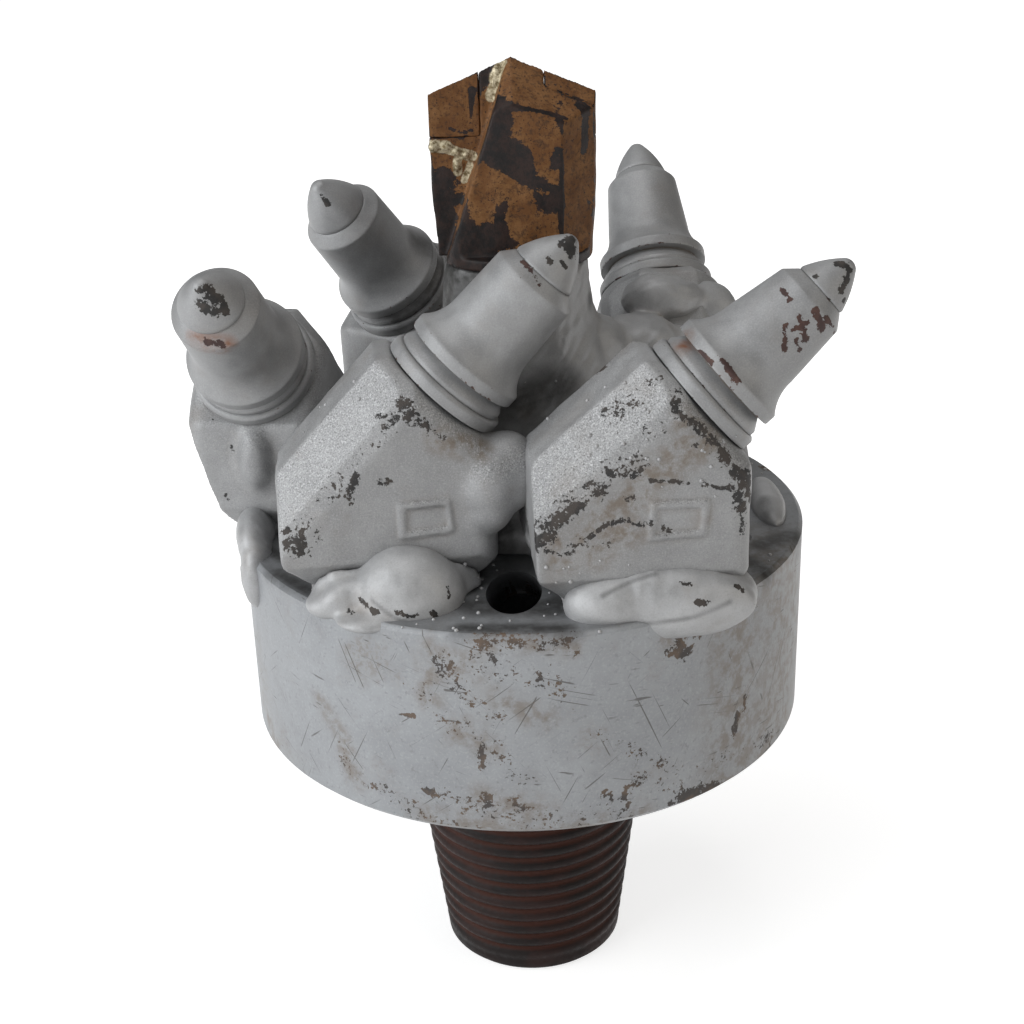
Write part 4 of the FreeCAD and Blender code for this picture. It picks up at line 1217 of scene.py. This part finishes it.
def tip_outline(nose_wear, tip_wear):
    edge = (SEAT_RADIUS - nose_wear, SEAT + TIP_EDGE)
    top = SEAT + TIP_HEIGHT - tip_wear
    cap = (CAP_RIM, top - (CAP_RADIUS - math.sqrt(CAP_RADIUS ** 2 - CAP_RIM ** 2)))
    return ([(0, SEAT - PLUG), (PLUG, SEAT - PLUG), (PLUG, SEAT), (edge[0], SEAT), edge]
            + bulge(edge, cap, TIP_SIDE, -1) + bulge(cap, (0, top), CAP_RADIUS, -1, 8))


WASHER_OUTLINE = [(WASHER_BORE, WASHER_BACK), (WASHER_RADIUS, WASHER_BACK),
                  (WASHER_RADIUS, WASHER_EDGE), (WASHER_RIM, WASHER_FRONT),
                  (WASHER_BORE, WASHER_FRONT)]
print("pick length from shank end to nose:", SEAT - SHANK_END, "mm")

# %% Marks seen on the picks
PICK_CHIPS = {
    "a": [(1.0, (522, 262), (540, 285)), (0.8, (545, 248), (560, 256))],
    "b": [
        (1.0, (782, 290), (790, 300)), (1.1, (786, 325), (784, 350)),
        (1.2, (800, 318), (806, 340)), (1.2, (815, 310), (822, 330)),
        (1.0, (796, 340), (800, 350)), (1.4, (724, 362), (736, 380)),
        (0.9, (700, 352), (712, 362)), (0.9, (792, 330), (808, 322)),
        (1.0, (826, 318), (834, 334)),
    ],
    "c": [(1.5, (206, 342), (222, 344))],
}
# Soot with painted shade on the lower right of pick d and its washer, the side turned away from
# the lamps
PICK_SOOT_AND_SHADE = {
    "d": [(6, (420, 240), (438, 268), (432, 296), (400, 320))],
}
PICK_RUST = {
    "b": [(3.5, (686, 345), (690, 372))],
    "c": [(3.0, (196, 340), (226, 346))],
}
TIP_CHIPS = {
    "a": [
        (2.2, (566, 242), (572, 252)), (1.6, (560, 244), (572, 240)),
        (1.0, (548, 258), (551, 262)), (0.9, (562, 262), (566, 268)),
    ],
    "b": [
        (1.6, (838, 264), (850, 270)), (1.6, (848, 276), (842, 290)),
        (1.0, (800, 266), (816, 276)), (1.2, (844, 300), (838, 316)),
        (0.8, (790, 272), (812, 300), (832, 326)),
    ],
    "c": [
        (2.6, (206, 292), (216, 300)), (2.4, (200, 305), (214, 312)),
        (1.6, (222, 300), (226, 312)),
    ],
    "d": [(1.2, (322, 196), (328, 204))],
}
print("picks with marks:", *sorted(PICK_CHIPS | PICK_SOOT_AND_SHADE))


# %% Spin every pick into its place
def turned_piece(outline, letter, name, node, step, paint):
    bm = turned(outline, 160, step=step, edge=0.3)
    bmesh.ops.transform(bm, matrix=bore_frame(letter), verts=bm.verts)
    piece = finish_piece(bm, name + letter, node + letter, paint,
                         "pick_" + letter + "_turning")
    piece.data.set_sharp_from_angle(angle=SHARP_EDGE)
    map_wear(piece, 1.2, 1)
    return piece


for letter, station in STATIONS.items():
    nose_wear, tip_wear = station[5:]
    pick = turned_piece(pick_outline(nose_wear), letter, "pick_steel_", "pick_",
                        0.9, turned_paint)
    brush(pick, "chips", PICK_CHIPS.get(letter, []))
    brush(pick, "rust", PICK_RUST.get(letter, []))
    brush(pick, "soot_and_shade", PICK_SOOT_AND_SHADE.get(letter, []), 0.75)
    scuff_far_side(pick, "chips", ord(letter), 10, 1.8)
    tip = turned_piece(tip_outline(nose_wear, tip_wear), letter, "tip_cone_", "carbide_tip_",
                       0.7, tip_paint)
    brush(tip, "chips", TIP_CHIPS.get(letter, []))
    washer = turned_piece(WASHER_OUTLINE, letter, "washer_ring_", "wear_washer_",
                          0.9, turned_paint)
    brush(washer, "soot_and_shade", PICK_SOOT_AND_SHADE.get(letter, []), 0.75)
    print("pick", letter, "triangles:", sum(len(p.vertices) - 2 for p in pick.data.polygons))

# %% [markdown]
# ## The pilot bit
# A two-wing chisel with a carbide plate let into each wing. Its forged body keeps soft
# corners; the plates are ground and sharper. Lumps of braze stand round the plates.

# %% Marks seen on the pilot bit
BRAZE_LUMPS = [
    ((434, 147), (1.6, 1.2, 1.2)), ((446, 147), (1.8, 1.2, 1.1)),
    ((456, 152), (1.5, 1.2, 1.1)), ((466, 155), (1.3, 1.1, 1.1)),
    ((457, 166), (1.0, 1.0, 1.5)), ((497, 74), (1.4, 1.0, 2.2)),
    ((494, 88), (1.2, 0.9, 1.8)),
]
PILOT_BARE = [
    (4.5, (500, 120), (490, 150)), (5.0, (498, 155), (520, 155)),
    (4.0, (512, 168), (528, 174)), (2.4, (535, 180), (556, 189)),
    (0.9, (505, 108), (530, 109), (566, 118)), (1.3, (559, 118), (561, 236)),
    (1.8, (582, 106), (583, 150)), (2.0, (556, 150), (553, 168)),
    (4.5, (470, 232), (458, 258)), (3.0, (486, 228), (492, 260)),
    (2.2, (508, 194), (505, 206)), (1.5, (543, 203), (546, 209)),
    (4.0, (466, 74), (482, 72)), (5.0, (440, 185), (440, 240)),
    (1.5, (500, 100), (478, 160)), (2.0, (450, 200), (462, 200)),
    (3.0, (500, 218), (505, 240)), (3.0, (445, 270), (480, 272)),
]
PILOT_THIN_PRIMER = [
    (9, (480, 226), (560, 238)), (8, (450, 255), (500, 265)), (6, (500, 204), (550, 208)),
    (5, (440, 105), (470, 128)),
]
PILOT_PRIMER = [
    (7, (530, 78), (575, 95)), (5, (530, 125), (545, 145)), (4, (545, 165), (550, 180)),
    (5, (480, 184), (515, 200)), (6, (520, 225), (550, 230)), (4, (575, 125), (577, 245)),
    (2.5, (484, 105), (474, 138)), (5, (480, 200), (480, 214)),
]
PILOT_BRAZE = [
    (2.6, (502, 66), (496, 80)), (2.0, (495, 84), (491, 96)), (2.4, (430, 147), (446, 147)),
    (1.8, (450, 150), (472, 156)), (1.6, (457, 160), (458, 172)),
    (1.2, (470, 165), (464, 180)),
]
print("strokes on the pilot bit:", len(PILOT_BARE + PILOT_THIN_PRIMER + PILOT_PRIMER))

# %% Build the pilot bit
pilot_bm = solid_copy("pilot_bit")
for pixel, size in BRAZE_LUMPS:
    add_lump(pilot_bm, touch(pixel)[0], size)
pilot = finish_piece(even_skin(pilot_bm, "pilot_bit", 0.45, 2), "pilot_chisel", "pilot_bit",
                     pilot_skin)
unevenness(pilot, 5, 0.22, 31)
map_wear(pilot, 1.0, 2)
brush(pilot, "bare", PILOT_BARE, 0.7)
brush(pilot, "bare", PILOT_THIN_PRIMER, 0.42)
brush(pilot, "primer", PILOT_PRIMER, 0.5)
scuff_far_side(pilot, "bare", 8, 14, 6.0)
brush(pilot, "braze", PILOT_BRAZE)
print("pilot triangles:", 2 * len(pilot.data.polygons))

# %% Build its carbide plates
PLATE_BARE = [
    (1.0, (426, 136), (472, 130)), (1.0, (472, 90), (470, 130)),
    (1.3, (450, 128), (466, 132)),
]
PLATE_PRIMER = [(6, (434, 100), (460, 120))]
for side in ("left", "right"):
    node = "pilot_insert_" + side
    plate = finish_piece(even_skin(solid_copy(node), node, 0.3, 2), "carbide_plate_" + side,
                         node, pilot_skin)
    unevenness(plate, 3, 0.12, 33)
    map_wear(plate, 0.8, 2)
    brush(plate, "bare", PLATE_BARE)
    brush(plate, "primer", PLATE_PRIMER)
    print(node, "triangles:", 2 * len(plate.data.polygons))

# %% [markdown]
# ## Hidden springs
# The split sleeves lie inside the bores. Their construction solids are right as they
# are, so they stay and only get spring steel.

# %% Give the sleeves their steel
for letter in STATIONS:
    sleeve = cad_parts["spring_sleeve_" + letter]
    sleeve.data.materials.clear()
    sleeve.data.materials.append(spring_steel)
print("sleeves finished:", len(STATIONS))

# %% [markdown]
# ## Weld spatter
# Welding throws small beads of metal that stick where they land and were painted
# over with the rest. A few dozen little balls, pressed into the surface, are enough.

# %% Scatter the spatter
random.seed(11)
spatter = bmesh.new()
BEAD_SIZES = (0.25, 0.6)
BEAD_RING = (40, 78)
TOP_BEADS = 120
# Two corners of a patch of the photograph, and how many beads are thrown at it
SPATTER_PATCHES = [
    ((450, 560), (600, 632), 40), ((400, 560), (460, 630), 10),
    ((520, 380), (660, 470), 26), ((300, 380), (420, 440), 10),
    ((570, 560), (740, 620), 18), ((660, 430), (740, 500), 10),
]


def add_bead(place, size):
    bmesh.ops.create_icosphere(spatter, subdivisions=2, radius=size,
                               matrix=Matrix.Translation(place))


for corner, opposite, count in SPATTER_PATCHES:
    for _ in range(count):
        pixel = [random.uniform(*ends) for ends in zip(corner, opposite)]
        found = touch(pixel)
        size = random.uniform(*BEAD_SIZES) * MM
        if found and found[0].z > (CROWN_TOP - 1) * MM:
            add_bead(found[0], size)
for _ in range(TOP_BEADS):
    around = random.uniform(0, 2 * math.pi)
    reach = random.uniform(*BEAD_RING) * MM
    size = random.uniform(*BEAD_SIZES) * MM
    place = Vector((reach * math.cos(around), reach * math.sin(around), CROWN_TOP * MM))
    # A bead that would hang over an open port has nothing under it and is left out
    above = place + Vector((0, 0, MM))
    if solid_trees["crown_body"].ray_cast(above, (0, 0, -1), 2 * MM)[0] is not None:
        add_bead(place, size)
spatter_piece = finish_piece(spatter, "weld_spatter", None, weld_paint)
print("spatter points:", len(spatter_piece.data.vertices))

# %% [markdown]
# ## Floor and light
# The bit stands on its pin on a plain pale floor, which shows white to the camera and
# keeps the bit's shadow. A large soft lamp at the upper left does most of the work. A
# broad one overhead lights the tops, and weak ones fill in from the front, the right
# and behind, so that no side is black.

# %% Lay the floor
floor_bm = bmesh.new()
bmesh.ops.create_grid(floor_bm, x_segments=1, y_segments=1, size=6.0)
floor = put_in_scene(floor_bm, "pale_floor")


def seen_by(tree, *kinds):
    """1 for the named kinds of ray, which look at a thing, else 0."""
    path = step_node(tree, "ShaderNodeLightPath", {}).outputs
    return largest(*[Wire(path["Is " + kind + " Ray"]) for kind in kinds])


def white_for_camera():
    material = bpy.data.materials.new("pale_floor")
    material.use_nodes = True
    tree = material.node_tree
    tree.nodes.clear()
    where = step_node(tree, "ShaderNodeTexCoord", {}).outputs["Object"]
    far = Wire(step_node(tree, "ShaderNodeVectorMath", {0: where},
                         operation="LENGTH").outputs["Value"])
    matt = step_node(tree, "ShaderNodeBsdfDiffuse", {"Color": (0.6, 0.6, 0.6, 1)}).outputs[0]
    glow = step_node(tree, "ShaderNodeEmission",
                     {"Color": (1, 1, 1, 1), "Strength": far.fade(0.12, 0.6, 0.74, 1.0)})
    both = step_node(tree, "ShaderNodeAddShader", {0: matt, 1: glow.outputs[0]})
    mix = step_node(tree, "ShaderNodeMixShader",
                    {0: seen_by(tree, "Camera", "Glossy", "Transmission"),
                     1: matt, 2: both.outputs[0]})
    step_node(tree, "ShaderNodeOutputMaterial", {"Surface": mix.outputs[0]})
    return material


floor.data.materials.append(white_for_camera())
print("floor laid")


# %% Hang the lamps and set the sky
def soft_lamp(name, place, size, power, tint=(1, 1, 1)):
    data = bpy.data.lights.new(name, "AREA")
    data.shape = "SQUARE"
    data.size = size
    data.energy = power
    data.color = tint
    lamp = bpy.data.objects.new(name, data)
    lamp.location = place
    aim = Vector((0, 0, 0.15)) - Vector(place)
    lamp.rotation_euler = aim.to_track_quat("-Z", "Y").to_euler()
    scene.collection.objects.link(lamp)


soft_lamp("left_lamp", (-1.3, -0.65, 0.75), 1.3, 20, (0.96, 0.985, 1.0))
soft_lamp("front", (-0.4, -1.5, 0.35), 1.2, 4)
soft_lamp("fill", (1.3, -0.7, 0.8), 1.2, 4.6, (1.0, 0.93, 0.82))
soft_lamp("back_rim", (0.2, 1.3, 1.0), 1.0, 1.5)
soft_lamp("ceiling", (-0.2, -0.1, 1.7), 1.2, 9)

world = bpy.data.worlds.new("plain_room")
scene.world = world
world.use_nodes = True
room = world.node_tree
room.nodes.clear()
dim, white = [step_node(room, "ShaderNodeBackground", {"Color": (1, 1, 1, 1), "Strength": s})
              for s in (0.08, 1.0)]
blend = step_node(room, "ShaderNodeMixShader",
                  {0: seen_by(room, "Camera", "Transmission"),
                   1: dim.outputs[0], 2: white.outputs[0]})
step_node(room, "ShaderNodeOutputWorld", {"Surface": blend.outputs[0]})
scene.view_settings.view_transform = "Standard"
